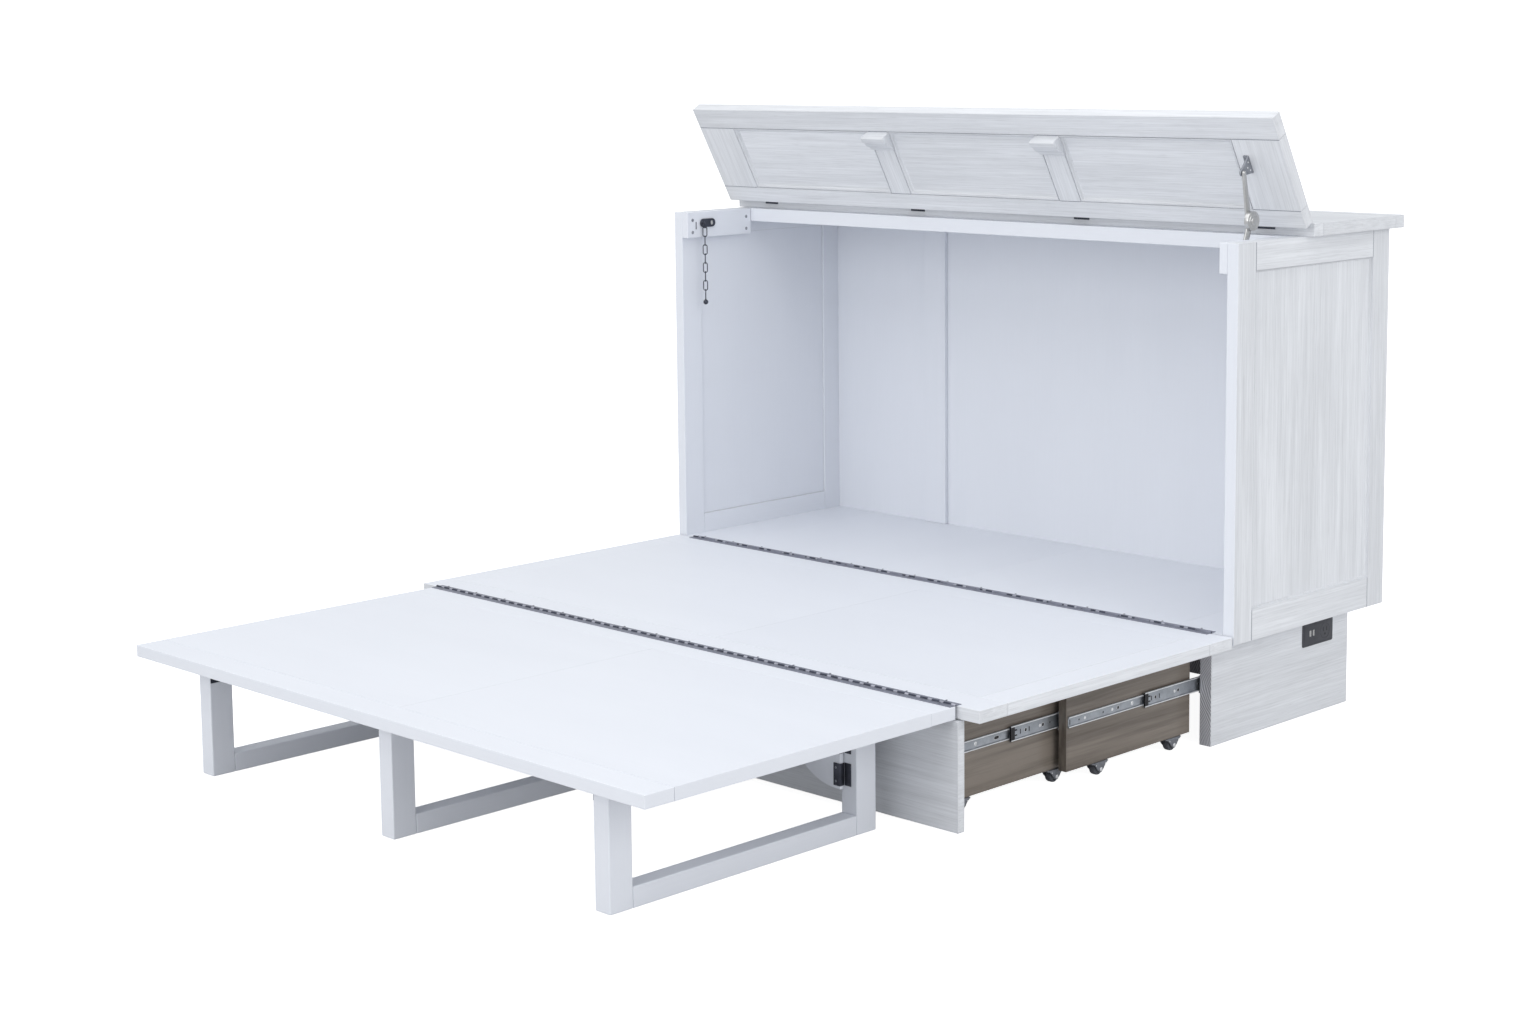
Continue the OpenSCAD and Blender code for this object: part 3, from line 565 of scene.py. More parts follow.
def keep(node, mat):
    """A CAD node whose shape is right stays, with softened edges and a better material."""
    obj = frame["nodes"][node]
    if not obj.data.materials:
        obj.data.materials.append(mat)
    for s in obj.material_slots:
        s.material = mat
    w = obj.modifiers.new("weld", "WELD")
    w.merge_threshold = WELD
    b = obj.modifiers.new("soft_edges", "BEVEL")
    b.width = LEAF_BEVEL
    b.segments = 2
    b.limit_method = "ANGLE"
    b.angle_limit = math.radians(50)
    b.harden_normals = True


def grain_uv(bm, grain, seed):
    """Box-projected UVs whose U follows the grain axis."""
    bm.normal_update()
    uv = bm.loops.layers.uv.get("UVMap") or bm.loops.layers.uv.new("UVMap")
    for f in bm.faces:
        n = max(range(3), key=lambda i: abs(f.normal[i]))
        for loop in f.loops:
            c = loop.vert.co
            if n == grain:
                u, v = c[(grain + 1) % 3] * END_STRETCH, c[(grain + 2) % 3]
            else:
                u, v = c[grain], c[3 - n - grain]
            loop[uv].uv = (u + seed, v + seed * 1.7)


def moulding(bm, lo, hi, axis, level, rise, steps):
    """Mitred moulding round a recess. steps are (mm in from the rim, share of rise)."""
    u, v = (axis + 1) % 3, (axis + 2) % 3
    loops = []
    for step, share in steps:
        u0, u1 = inset(lo[u], hi[u], step - RIM_GAP)
        v0, v1 = inset(lo[v], hi[v], step - RIM_GAP)
        ring = []
        for x, y in ((u0, v0), (u1, v0), (u1, v1), (u0, v1)):
            p = [0.0, 0.0, 0.0]
            p[axis], p[u], p[v] = level + rise * share, x, y
            ring.append(bm.verts.new(p))
        loops.append(ring)
    skin(bm, loops, 4)


def dome(bm, centre, axis, sign, r, h, mat=0, n=24):
    """Rivet head: a low dome with a short straight skirt."""
    prof = [(-0.15 * MM, r), (h * 0.35, r), (h * 0.75, r * 0.86), (h * 0.95, r * 0.55), (h, 0.0)]
    lathe(bm, [(sign * a, b) for a, b in prof], axis, centre, n, mat)


def hole(bm, centre, axis, sign, r, rim=0, long=None, stretch=0.0):
    """Pressed hole: a raised rim round a mouth of material 1, drawn out along axis `long` if asked. On the
    slides the mouth is black, painted shade in the hole.
    """
    n = 24
    rings = []
    for height, wider in ((-0.1, 0.8), (0.35, 0.5), (0.35, 0.1), (0.08, 0.0)):
        ring = circle_verts(bm, centre, axis, sign * height * MM, r + wider * MM, n)
        if long is not None:
            for k, vert in enumerate(ring):
                a = 2 * math.pi * k / n
                c = math.cos(a) if long == (axis + 1) % 3 else math.sin(a)
                vert.co[long] += stretch * ((c > 1e-9) - (c < -1e-9))
        rings.append(ring)
    skin(bm, rings, n, rim)
    bm.faces.new(rings[-1]).material_index = 1


def wire_loop(bm, points, r, n=12):
    """Round wire swept along a closed run of points."""
    rings = []
    side = None
    turns = [2 * math.pi * j / n for j in range(n)]
    for k, at in enumerate(points):
        t = (Vector(points[(k + 1) % len(points)]) - Vector(points[k - 1])).normalized()
        if side is None:
            side = t.orthogonal().normalized()
        side = (side - t * side.dot(t)).normalized()
        other = t.cross(side)
        ring = [Vector(at) + side * r * math.cos(a) + other * r * math.sin(a) for a in turns]
        rings.append([bm.verts.new(p) for p in ring])
    for k, a in enumerate(rings):
        c = rings[(k + 1) % len(rings)]
        last = k == len(rings) - 1
        turn = min(range(n), key=lambda q: (a[0].co - c[q].co).length) if last else 0
        for j in range(n):
            bm.faces.new([a[j], a[(j + 1) % n], c[(j + 1 + turn) % n], c[(j + turn) % n]])


def ogee(y0, y1, z0, z1):
    """Keeper profile: thick rounded foot at y0, a fillet, a hollow and a thin nose at y1."""
    shares = [(0.0, 1.0), (0.0, 0.24), (0.02, 0.10), (0.07, 0.0), (0.26, 0.0)]
    shares += [(0.31, 0.03), (0.34, 0.12), (0.34, 0.20), (0.38, 0.22)]
    shares += [(0.38 + 0.36 * math.sin(t), 0.68 - 0.44 * math.cos(t)) for t in (0.3, 0.6, 0.9, 1.2, 1.5)]
    shares += [(0.80, 0.66), (0.88, 0.70), (0.96, 0.76), (1.0, 0.86), (1.0, 1.0)]
    return [(y0 + (y1 - y0) * y, z0 + (z1 - z0) * z) for y, z in shares]


# ---------------------------------------------------------------- boards
def facing(*sides):
    """Second material on the faces named as (axis, sign), first elsewhere."""
    return lambda n, s: 1 if (n, s) in sides else 0


for tag, sign in (("left", 1), ("right", -1)):
    boards("side_frame_" + tag, [WASH, PAINT], 1.4, pick=facing((0, sign), (1, -1)))

b = Boards([WASH, PAINT])
for lo, hi in islands("side_insets"):
    b.add(lo, hi, 2, 0.8 * MM, facing((0, 1 if lo[0] < 0 else -1)))
settle(b.build("side_insets_wood"), "side_insets", replace=["side_insets"])

UPPER_FACE = facing((2, 1))
boards("back_panel", [PAINT, WASH], 1.0, 2, facing((1, 1)))
boards("deck_boards", [PAINT], 0.5, 1)
boards("fixed_top", [WASH], 1.6, 0)
boards("header_rail", [PAINT])
boards("stop_blocks", [PAINT], 1.6, 1)
# the plinth's front faces take the dark end grain, darkened as painted shade under the bed
boards(
    "plinth_boards", [WASH, END_GRAIN_AND_SHADE], 1.2, lambda k, lo, hi: 0 if hi[0] - lo[0] > 0.5 else 1,
    facing((1, -1))
)
boards("lid_frame", [WASH], 1.5, to=SHUT)
boards("lid_inset", [WASH], 0.8, 0, to=SHUT)
boards("front_panel_frame", [WASH, PAINT], 1.4, pick=UPPER_FACE)
boards("front_panel_boards", [WASH, PAINT], 0.5, 0, UPPER_FACE)
boards("foot_panel_frame", [PAINT], 1.4)
boards("foot_panel_boards", [PAINT], 0.5, 0)
boards("drawer_front", [WASH], 1.2, 0)
boards("drawer_sides", [STAIN], 1.0)
boards("drawer_back", [STAIN], 1.0)
boards("drawer_bottom", [STAIN], 0.6, 0)
boards("carriage_boards", [STAIN], 1.0)
for tag in ("right", "middle", "left"):
    boards("leg_" + tag, [PAINT], 2.4)


# ---------------------------------------------------------------- mouldings and keepers
LID_STEPS = (
    (0.0, 0.0), (0.3, 0.42), (1.3, 0.42), (1.7, 0.04), (2.6, 0.0), (3.6, 0.06),
    (5.4, 0.44), (7.4, 0.80), (9.2, 0.93), (10.4, 0.96), (10.8, 1.04),
)
bm = bmesh.new()
level = min(lo[2] for lo, hi in islands("lid_frame", SHUT)) + 0.2 * MM
for lo, hi in islands("lid_inset", SHUT):
    moulding(bm, lo, hi, 2, level, lo[2] - level, LID_STEPS)
grain_uv(bm, 0, 3.3)
bm.transform(OPEN)
settle(from_bm(bm, "lid_panel_mouldings", [WASH], 60), "lid_inset")

# each keeper is drawn over the whole box of the solids that share its place
bm = bmesh.new()
spots = {}
for lo, hi in islands("lid_keepers", SHUT):
    key = round((lo[0] + hi[0]) / 2, 2)
    a, c = spots.get(key, (lo, hi))
    spots[key] = (list(map(min, a, lo)), list(map(max, c, hi)))
for lo, hi in spots.values():
    prism(bm, ogee(lo[1], hi[1], lo[2], hi[2]), 0, lo[0], hi[0], 0.7 * MM)
grain_uv(bm, 0, 2.1)
bm.transform(OPEN)
stand_in(bm, "lid_keepers_profiled", [WASH], 26, "lid_keepers")

# recess trim on the outside of both side frames
SIDE_STEPS = ((0.0, 0.0), (0.5, 0.30), (1.2, 0.62), (2.4, 0.86), (4.0, 0.97), (4.2, 1.03))
bm = bmesh.new()
for lo, hi in islands("side_insets"):
    out = 1 if lo[0] > 0 else -1
    face = hi[0] if out > 0 else lo[0]
    level = (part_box("side_frame_right")[1][0] - 0.5 * MM) * out
    moulding(bm, lo, hi, 0, level, face - level, SIDE_STEPS)
grain_uv(bm, 2, 5.2)
settle(from_bm(bm, "side_panel_trim", [WASH], 60), "side_insets")


# shadow line where a side's rails butt against its stiles
SEAM = painted("joint_shadow", (0.24, 0.26, 0.31), (0.19, 0.205, 0.25), 0.8)
for node in ("side_frame_left", "side_frame_right"):
    bm = bmesh.new()
    for lo, hi in islands(node):
        if hi[1] - lo[1] > hi[2] - lo[2]:
            sign = 1 if lo[0] > 0 else -1
            wall = hi[0] if sign > 0 else lo[0]
            for y in (lo[1], hi[1]):
                line = round_rect(*span(y, 0.65), *inset(lo[2], hi[2], 1), 0.4 * MM, 2)
                prism(bm, line, 0, wall - sign * 1.2 * MM, wall - sign * 0.2 * MM)
    settle(from_bm(bm, node + "_joint_lines", [SEAM], 30), node)

# the lid's stiles and mullions butt against its rails: lines on both faces
bm = bmesh.new()
for lo, hi in islands("lid_frame", SHUT):
    if hi[1] - lo[1] > hi[0] - lo[0]:
        for y in (lo[1], hi[1]):
            line = round_rect(*inset(lo[0], hi[0], 1), *span(y, 0.6), 0.4 * MM, 2)
            for z in (lo[2] + 0.2 * MM, hi[2] - 1.2 * MM):
                prism(bm, line, 2, z, z + 1 * MM)
bm.transform(OPEN)
settle(from_bm(bm, "lid_frame_joint_lines", [SEAM], 30), "lid_frame")

# faint joint between the boards of each folding panel
FAINT = painted("filled_joint", (0.38, 0.395, 0.43), (0.34, 0.355, 0.39), 0.6)
for node in ("front_panel_boards", "foot_panel_boards"):
    bm = bmesh.new()
    parts = islands(node)
    for lo, hi in parts:
        if any(abs(hi[0] - other[0][0]) < 1 * MM for other in parts):
            line = round_rect(*span(hi[0], 0.5), *inset(lo[1], hi[1], 2), 0.3 * MM, 2)
            prism(bm, line, 2, hi[2] - 1.2 * MM, hi[2] - 0.15 * MM)
    settle(from_bm(bm, node + "_joint_line", [FAINT], 30), node)


# ---------------------------------------------------------------- braces
def brace_outline(near, far, z0, z1, side, r):
    """Gusset with its corner away from the leg cut to a round."""
    cut = arc(far + side * r, z0 + r, r, [-90 - side * 9 * k for k in range(11)])
    return [(z, x) for x, z in [(near, z1), (near, z0), *cut, (far, z1)]]


for tag in ("right", "middle", "left"):
    node = "brace_" + tag
    pts = [v.co for v in frame["nodes"][node].data.vertices]
    lo, hi = (Vector(c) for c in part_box(node))
    leg_lo, leg_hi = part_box("leg_" + tag)
    side = 1 if leg_lo[0] + leg_hi[0] > lo[0] + hi[0] else -1
    foot_pts = [p for p in pts if p.z < lo[2] + 0.5 * MM]
    near = max(p.x * side for p in foot_pts) * side
    far = lo[0] if side > 0 else hi[0]
    back, front = hi[1], min(p.y for p in foot_pts)
    top = max(p.z for p in pts if p.y > back - 0.5 * MM)
    bm = bmesh.new()
    prism(bm, brace_outline(near, far, lo[2], top, side, 126 * MM), 1, front, back, 1.2 * MM)
    grain_uv(bm, 2, 1.3)
    stand_in(bm, node + "_gusset", [PAINT], 30, node)
    on_plate = [p.z for p in pts if front - 1.6 * MM < p.y < front - 1.2 * MM and p.z < top - 20 * MM]
    plate = sorted({round(z, 4) for z in on_plate})
    bm = bmesh.new()
    for z0, z1 in (plate[:2], plate[-2:]):
        x0, x1 = sorted((near + side * 0.2 * MM, near - side * 15 * MM))
        prism(bm, round_rect(z0, z1, x0, x1, 1.2 * MM, 3), 1, front - 1.4 * MM, front + 0.1 * MM, 0.25 * MM)
        x0, x1 = sorted((near - side * 0.1 * MM, near + side * 1.2 * MM))
        prism(bm, round_rect(z0, z1, x0, x1, 0.5 * MM, 2), 1, front - 1.4 * MM, back, 0.2 * MM)
        for share in (0.2, 0.8):
            at = (near - side * 9 * MM, front - 1.4 * MM, z0 + (z1 - z0) * share)
            screw(bm, at, 1, -1, 2.4 * MM, 1, 0.2, share * 5)
    px, py, pz = joints[tag + "_brace_fold"]["pos_m"]
    width, low, high = 9.8 * MM, pz - 5.8 * MM, pz - 1.4 * MM
    ends = [(-width, 0), (-width, 2.4 * MM), (-width + 0.4 * MM, 2.8 * MM)]
    lathe(bm, ends + [(-a, b) for a, b in reversed(ends)], 0, (px, py, pz), 24)
    leaf = [
        (py, low), (front + 1 * MM, low), (front + 1 * MM, pz - 3.6 * MM), (py + 2.4 * MM, high),
        (py, high)
    ]
    prism(bm, leaf, 0, px - width, px + width, 0.2 * MM)
    settle(from_bm(bm, node + "_plates", [GUN, FORK], 30), body=body_of_node[node])

# ---------------------------------------------------------------- hinges and plates that keep their CAD shape
for node in (
    "top_hinge_leaves", "lid_hinge_leaves", "foot_panel_plates",
    "leg_right_leaves", "leg_middle_leaves", "leg_left_leaves",
):
    keep(node, GUN)
deck_y = joints["deck_fold"]["pos_m"][1]
foot_y = joints["foot_fold"]["pos_m"][1]
keep("deck_hinge_leaf", piano("deck_hinge_steel", deck_y))
keep("foot_panel_leaf", piano("foot_hinge_steel", foot_y))
keep("front_panel_leaves", piano("front_leaf_steel", foot_y))


def screw_row(name, body, places, axis, r, mat):
    """Flat screw heads at these places, each turned its own way."""
    bm = bmesh.new()
    for k, p in enumerate(places):
        screw(bm, p, axis, 1, r, 0, 0.12, 0.5 + k * 1.37)
    settle(from_bm(bm, name, [mat], 40), body=body)


leaf_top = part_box("front_panel_boards")[1][2]
for name, node, y in (
    ("deck_hinge_screws", "deck_hinge_leaf", deck_y + LEAF_MID),
    ("front_hinge_screws_rear", "front_panel_leaves", deck_y - LEAF_MID),
    ("front_hinge_screws_foot", "front_panel_leaves", foot_y + LEAF_MID),
    ("foot_hinge_screws", "foot_panel_leaf", foot_y - LEAF_MID),
):
    gaps = [(abs(v.co.y - y), v.co.z) for v in frame["nodes"][node].data.vertices]
    top = max((round(z, 5) for gap, z in gaps if 4 * MM < gap < 12 * MM), default=leaf_top)
    places = [(-0.72 + 0.096 * k, y, top) for k in range(16)]
    screw_row(name, body_of_node[node], places, 2, 2.3 * MM, GUN)


# ---------------------------------------------------------------- telescopic slides
def channel(bm, lo, hi, opens):
    """Rolled C-section along Y; opens is the X direction its hollow faces."""
    w, z0, z1 = hi[0] - lo[0] - 0.15 * MM, lo[2], hi[2]
    lip = 1.6 * MM
    prof = [(0, z0 + 0.6 * MM), (0, z1 - 0.6 * MM), (0.3 * MM, z1 - 0.15 * MM), (0.8 * MM, z1)]
    prof += [(w - 0.7 * MM, z1), (w - 0.2 * MM, z1 - 0.3 * MM), (w, z1 - 0.8 * MM)]
    prof += [(w, z1 - lip * 2.0), (w - 0.9 * MM, z1 - lip * 2.3)]
    prof += [(WEB + 0.2 * MM, z1 - lip * 2.0), (WEB, z1 - lip * 2.6)]
    prof += [(x, z0 + z1 - z) for x, z in reversed(prof[2:])]
    prism(bm, [(z, lo[0] + x if opens > 0 else hi[0] - x) for x, z in prof], 1, lo[1], hi[1])


# radius in mm, material of the rim, axis the hole is drawn out along and by how many mm; rim material 2 is
# the bright zinc, a painted highlight
HOLES = {
    "slot": (3.0, 2, 1, 4.0), "tall": (1.5, 0, 2, 3.4),
    "small": (1.9, 0, None, 0.0), "hole": (3.4, 2, None, 0.0),
}


def slide_set(node, outward, marks, clip=False, lip_highlights=False):
    """outward: +1 where the hollow faces away from the centre line, -1 where it faces it.
    marks are (mm from the front, kind)."""
    bm = bmesh.new()
    for lo, hi in islands(node):
        away = 1 if lo[0] + hi[0] > 0 else -1
        opens = away * (outward(lo, hi) if callable(outward) else outward)
        channel(bm, lo, hi, opens)
        x = lo[0] + WEB if opens > 0 else hi[0] - WEB
        zc = (lo[2] + hi[2]) / 2
        # thin bright zinc strips along both lips: painted highlights
        if lip_highlights:
            rim = hi[0] if opens > 0 else lo[0]
            for z in (lo[2] + 0.7 * MM, hi[2] - 2.3 * MM):
                line = round_rect(*inset(lo[1], hi[1], 1), z, z + 1.6 * MM, 0.4 * MM, 2)
                prism(bm, line, 0, *sorted((rim - opens * 0.25 * MM, rim)), 0.08 * MM, 2)
        for at, kind in marks:
            spot = (x, lo[1] + at * MM, zc)
            if spot[1] > hi[1] - 8 * MM:
                continue
            if kind == "screw":
                screw(bm, spot, 0, opens, 4.2 * MM, 2, 0.30, at * 0.1)
            elif kind == "dimple":
                dome(bm, spot, 0, opens, 3.2 * MM, 1.3 * MM, 2)
            else:
                r, rim, long, stretch = HOLES[kind]
                hole(bm, spot, 0, opens, r * MM, rim, long, stretch * MM)
        if clip:
            for k in range(4):
                y = lo[1] - 0.2 * MM + k * 2.6 * MM
                box = round_rect(*inset(lo[2], hi[2], 0.1), *inset(lo[0], hi[0], 0.05), 0.9 * MM, 3)
                prism(bm, box, 1, max(y, lo[1]), y + 1.7 * MM, 0.3 * MM, 1)
            box = round_rect(*inset(lo[2], hi[2], 2), *inset(lo[0], hi[0], 0.3), 0.6 * MM, 2)
            prism(bm, box, 1, lo[1], lo[1] + 12 * MM, 0.2 * MM, 1)
            for dz in (-5, 5):
                tab = round_rect(lo[1] + 12 * MM, lo[1] + 20 * MM, *span(zc + dz * MM, 1.2), 1 * MM, 3)
                prism(bm, tab, 0, *sorted((x, x + opens * 1.2 * MM)), 0.2 * MM, 1)
    # materials: zinc; black for the clips and for the painted shade in the hole mouths; bright zinc, partly
    # painted highlight
    stand_in(bm, node + "_pressed", [ZINC, BLACK_PLASTIC_AND_SHADE, BRIGHT_ZINC_AND_HIGHLIGHT], 30, node)


def outer_member(lo, hi):
    """The carriage's slides face away outside its boards and inwards inside them."""
    return 1 if max(abs(lo[0]), abs(hi[0])) > carriage_x + 1 * MM else -1


slide_set("drawer_slides", 1, [
    (16, "small"), (49, "dimple"), (75, "hole"), (87, "small"), (150, "screw"), (210, "slot"),
    (290, "screw"), (345, "small"),
], lip_highlights=True)
slide_set("drawer_mid_slides", 1, [
    (30, "tall"), (46, "hole"), (56, "tall"), (88, "dimple"), (97, "hole"), (118, "small"),
    (190, "hole"), (250, "slot"), (320, "small"),
], clip=True, lip_highlights=True)
slide_set("carriage_mid_slides", 1, [
    (24, "tall"), (37, "hole"), (50, "tall"), (100, "dimple"), (112, "hole"), (180, "small"),
    (240, "slot"), (320, "hole"),
], clip=True, lip_highlights=True)
carriage_x = max(abs(c[0]) for b in islands("carriage_boards") for c in b)
slide_set("carriage_slides", outer_member, [
    (5, "tall"), (33, "small"), (51, "dimple"), (108, "small"), (136, "dimple"), (155, "hole"),
    (200, "screw"), (262, "slot"), (320, "hole"), (390, "screw"), (450, "small"),
], lip_highlights=True)
slide_set("base_slides", -1, [
    (14, "tall"), (60, "screw"), (150, "slot"), (240, "screw"), (330, "hole"), (430, "screw"),
])


# ---------------------------------------------------------------- casters
def caster_set(node, wheels):
    """Stamped forks: a top plate, two cheeks narrowing to the axle, rivets and the axle."""
    bm = bmesh.new()
    for lo, hi in islands(node):
        xc, yc = (lo[0] + hi[0]) / 2, (lo[1] + hi[1]) / 2
        half = (hi[0] - lo[0]) / 2 - 1.5 * MM
        length, top = hi[1] - lo[1], hi[2]
        wheel = min(wheels, key=lambda n: (Vector(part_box(n)[0]) - Vector((xc, yc, 0))).length)
        wlo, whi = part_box(wheel)
        az = (wlo[2] + whi[2]) / 2
        plate = round_rect(xc - half, xc + half, lo[1], hi[1], 3.5 * MM)
        prism(bm, plate, 2, top - 2 * MM, top, 0.4 * MM)
        base, neck = top - 1.0 * MM, top - 3.4 * MM
        cheek = [(-0.44 * length, base), (-0.40 * length, neck)]
        for t in (0.25, 0.5, 0.75, 1.0):
            cheek.append(((0.22 * t - 0.40) * length, neck - (neck - az) * t ** 1.5))
        line = [(yc + y, z) for y, z in cheek]
        line += arc(yc, az, 6.2 * MM, [205 + 13 * k for k in range(11)])
        line += [(yc - y, z) for y, z in reversed(cheek)]
        for s in (-1, 1):
            xo = xc + s * half
            prism(bm, line, 0, *sorted((xo - s * 2 * MM, xo)), 0.45 * MM)
            boss = [(0, 5.2), (s * 0.5, 5.1), (s * 0.6, 4.7), (s * 0.6, 0)]
            lathe(bm, [(a * MM, b * MM) for a, b in boss], 0, (xo, yc, az), 24)
            dome(bm, (xo + s * 0.5 * MM, yc, az), 0, s, 4.0 * MM, 1.0 * MM, 1)
            for dy in (-0.28, 0.28):
                dome(bm, (xo, yc + dy * length, top - 5.0 * MM), 0, s, 1.3 * MM, 0.5 * MM, 1)
        prism(bm, circle(yc, az, 2.3 * MM), 0, xc - half, xc + half, mat=1)
    stand_in(bm, node + "_stamped", [FORK, BRIGHT_ZINC_AND_HIGHLIGHT], 32, node)


wheel_nodes = [n for n in frame["nodes"] if "_wheel_" in n]
for owner in ("drawer", "carriage"):
    caster_set(owner + "_casters", [n for n in wheel_nodes if n.startswith(owner)])
# half profiles as shares of (half width, radius): tyre from the middle of its tread, hub from the tyre in
TYRE_HALF = ((0.25, 1.0), (0.62, 0.99), (0.86, 0.94), (0.96, 0.84), (0.96, 0.66), (0.80, 0.62))
HUB_HALF = ((0.80, 0.62), (0.70, 0.58), (0.66, 0.42), (0.92, 0.38), (0.98, 0.34), (0.98, 0.22))
for n in wheel_nodes:
    lo, hi = (Vector(c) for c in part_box(n))
    c = (lo + hi) / 2
    r, w = (hi[2] - lo[2]) / 2, (hi[0] - lo[0]) / 2
    bm = bmesh.new()
    tyre = [(-w * a, r * b) for a, b in reversed(TYRE_HALF)] + [(w * a, r * b) for a, b in TYRE_HALF]
    hub = [(w * a, r * b) for a, b in HUB_HALF] + [(-w * a, r * b) for a, b in reversed(HUB_HALF)]
    lathe(bm, tyre, 0, c, 40, 0)
    lathe(bm, hub, 0, c, 40, 1)
    for y, z in circle(c[1], c[2], r * 0.50, 5):
        for s in (-1, 1):
            dome(bm, (c[0] + s * w * 0.67, y, z), 0, s, r * 0.075, 0.35 * MM, 1, 12)
    bmesh.ops.remove_doubles(bm, verts=bm.verts, dist=WELD)
    stand_in(bm, n + "_moulded", [TYRE, HUB], 34, n)


# ---------------------------------------------------------------- lid stay
def taper(a, c, wa, wc):
    """Outline in Y, Z of a flat arm from a to c with round ends."""
    lean = math.degrees(math.atan2(c[1] - a[1], c[0] - a[0]))
    return [
        p for at, w, start in ((a, wa, 90), (c, wc, -90))
        for p in arc(at[0], at[1], w, [lean + start + 15 * k for k in range(13)])
    ]


F = joints["stay_foot_pivot"]["pos_m"][1:]
E = joints["stay_elbow_pivot"]["pos_m"][1:]
ulo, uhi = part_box("stay_upper_arm")
tip = (ulo[1] + 5 * MM, uhi[2] - 5 * MM)
llo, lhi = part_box("stay_lower_arm")
arm_x0, arm_x1 = llo[0] + 6 * MM, llo[0] + 10 * MM
disc_r = lhi[2] - E[1]

bm = bmesh.new()
prism(bm, taper(F, E, 7 * MM, 8 * MM), 0, arm_x0, arm_x1, 0.7 * MM)
# face of the elbow disc: (mm beyond its thickness, share of its radius)
DISC_FACE = (
    (-1.6, 1.0), (-0.5, 0.975), (-0.1, 0.90), (-0.1, 0.80), (-0.7, 0.77), (-0.7, 0.70),
    (-0.2, 0.66), (-0.2, 0.36), (0.3, 0.33), (0.7, 0.22), (0.8, 0.0),
)
t = lhi[0] - arm_x0
plate = [(0.0, 0.0), (0.0, disc_r * 0.96), (0.6 * MM, disc_r)]
plate += [(t + h * MM, disc_r * share) for h, share in DISC_FACE]
lathe(bm, plate, 0, (arm_x0, *E), 48)
dome(bm, (arm_x1, *F), 0, 1, 4.2 * MM, 0.25 * MM)
dome(bm, (arm_x0, *F), 0, -1, 4.2 * MM, 1.0 * MM)
stand_in(bm, "stay_lower_arm_cast", [NICKEL], 32, "stay_lower_arm")

bm = bmesh.new()
prism(bm, taper(E, tip, 8 * MM, 5 * MM), 0, ulo[0], uhi[0], 0.7 * MM)
dome(bm, (ulo[0], *E), 0, -1, 5.2 * MM, 1.2 * MM)
dome(bm, (uhi[0], *tip), 0, 1, 3.6 * MM, 1.1 * MM)
rib = [(E[0] + (tip[0] - E[0]) * share, E[1] + (tip[1] - E[1]) * share) for share in (0.2, 0.85)]
prism(bm, taper(*rib, 3.4 * MM, 2.2 * MM), 0, uhi[0] - 0.1 * MM, uhi[0] + 0.5 * MM, 0.25 * MM)
stand_in(bm, "stay_upper_arm_cast", [NICKEL], 32, "stay_upper_arm")

blo, bhi = islands("lid_stay_bracket", SHUT)[0]
pin = SHUT @ Vector((ulo[0], *tip))
x1 = bhi[0]
zt = bhi[2] - 2 * MM
bm = bmesh.new()
ear = [(pin[1] - 20 * MM, zt), (pin[1] - 17.5 * MM, zt - 3 * MM)]
ear += arc(pin[1], pin[2], 6.6 * MM, [200 + 14 * k for k in range(11)])
ear += [(pin[1] + 17.5 * MM, zt - 3 * MM), (pin[1] + 20 * MM, zt)]
prism(bm, ear, 0, x1 - 3.5 * MM, x1, 0.5 * MM)
prism(bm, round_rect(blo[0], x1, *span(pin[1], 20), 2.5 * MM), 2, zt, bhi[2], 0.4 * MM)
for dy in (-14, 14):
    screw(bm, (blo[0] + 5 * MM, pin[1] + dy * MM, zt), 2, -1, 3.4 * MM, 0, 0.3, dy * 0.1)
for dy, dz in ((-9, -6), (9, -6), (0, -12)):
    dome(bm, (x1, pin[1] + dy * MM, zt + dz * MM), 0, 1, 1.7 * MM, 0.7 * MM, 1)
eye = [(-0.6 * MM, 0), (-0.6 * MM, 3.0 * MM), (0.6 * MM, 3.0 * MM), (0.6 * MM, 0)]
lathe(bm, eye, 0, (x1 + 0.5 * MM, pin[1], pin[2]), 20)
bm.transform(OPEN)
stand_in(bm, "lid_stay_bracket_pressed", [FORK, BRIGHT_ZINC_AND_HIGHLIGHT], 32, "lid_stay_bracket")

flo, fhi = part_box("stay_foot")
bm = bmesh.new()
prism(bm, round_rect(flo[1], fhi[1], flo[2], fhi[2], 5 * MM), 0, fhi[0] - 3 * MM, fhi[0], 0.5 * MM)
boss_x = arm_x1 + 0.3 * MM
boss = [(0, 0), (0, 6.4 * MM), (0.5 * MM, 7 * MM), (fhi[0] - 2 * MM - boss_x, 7 * MM)]
lathe(bm, boss, 0, (boss_x, *F), 32)
lathe(bm, [(0, 0), (0, 2.4 * MM), (5 * MM, 2.4 * MM)], 0, (arm_x0 - 0.4 * MM, *F), 20)
for dz in (0.012, 0.024):
    at = (fhi[0] - 3 * MM, F[0] - 7 * MM + dz * 0.6, F[1] + dz)
    screw(bm, at, 0, -1, 3.2 * MM, 0, 0.3, dz * 40)
stand_in(bm, "stay_foot_plate", [NICKEL], 32, "stay_foot")

# ---------------------------------------------------------------- chain, strap and screws on the stop blocks
clo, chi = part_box("chain_eye")
cx, cy, cz = joints["chain_swing"]["pos_m"]
wire, link_w = 1.15 * MM, 11.8 * MM


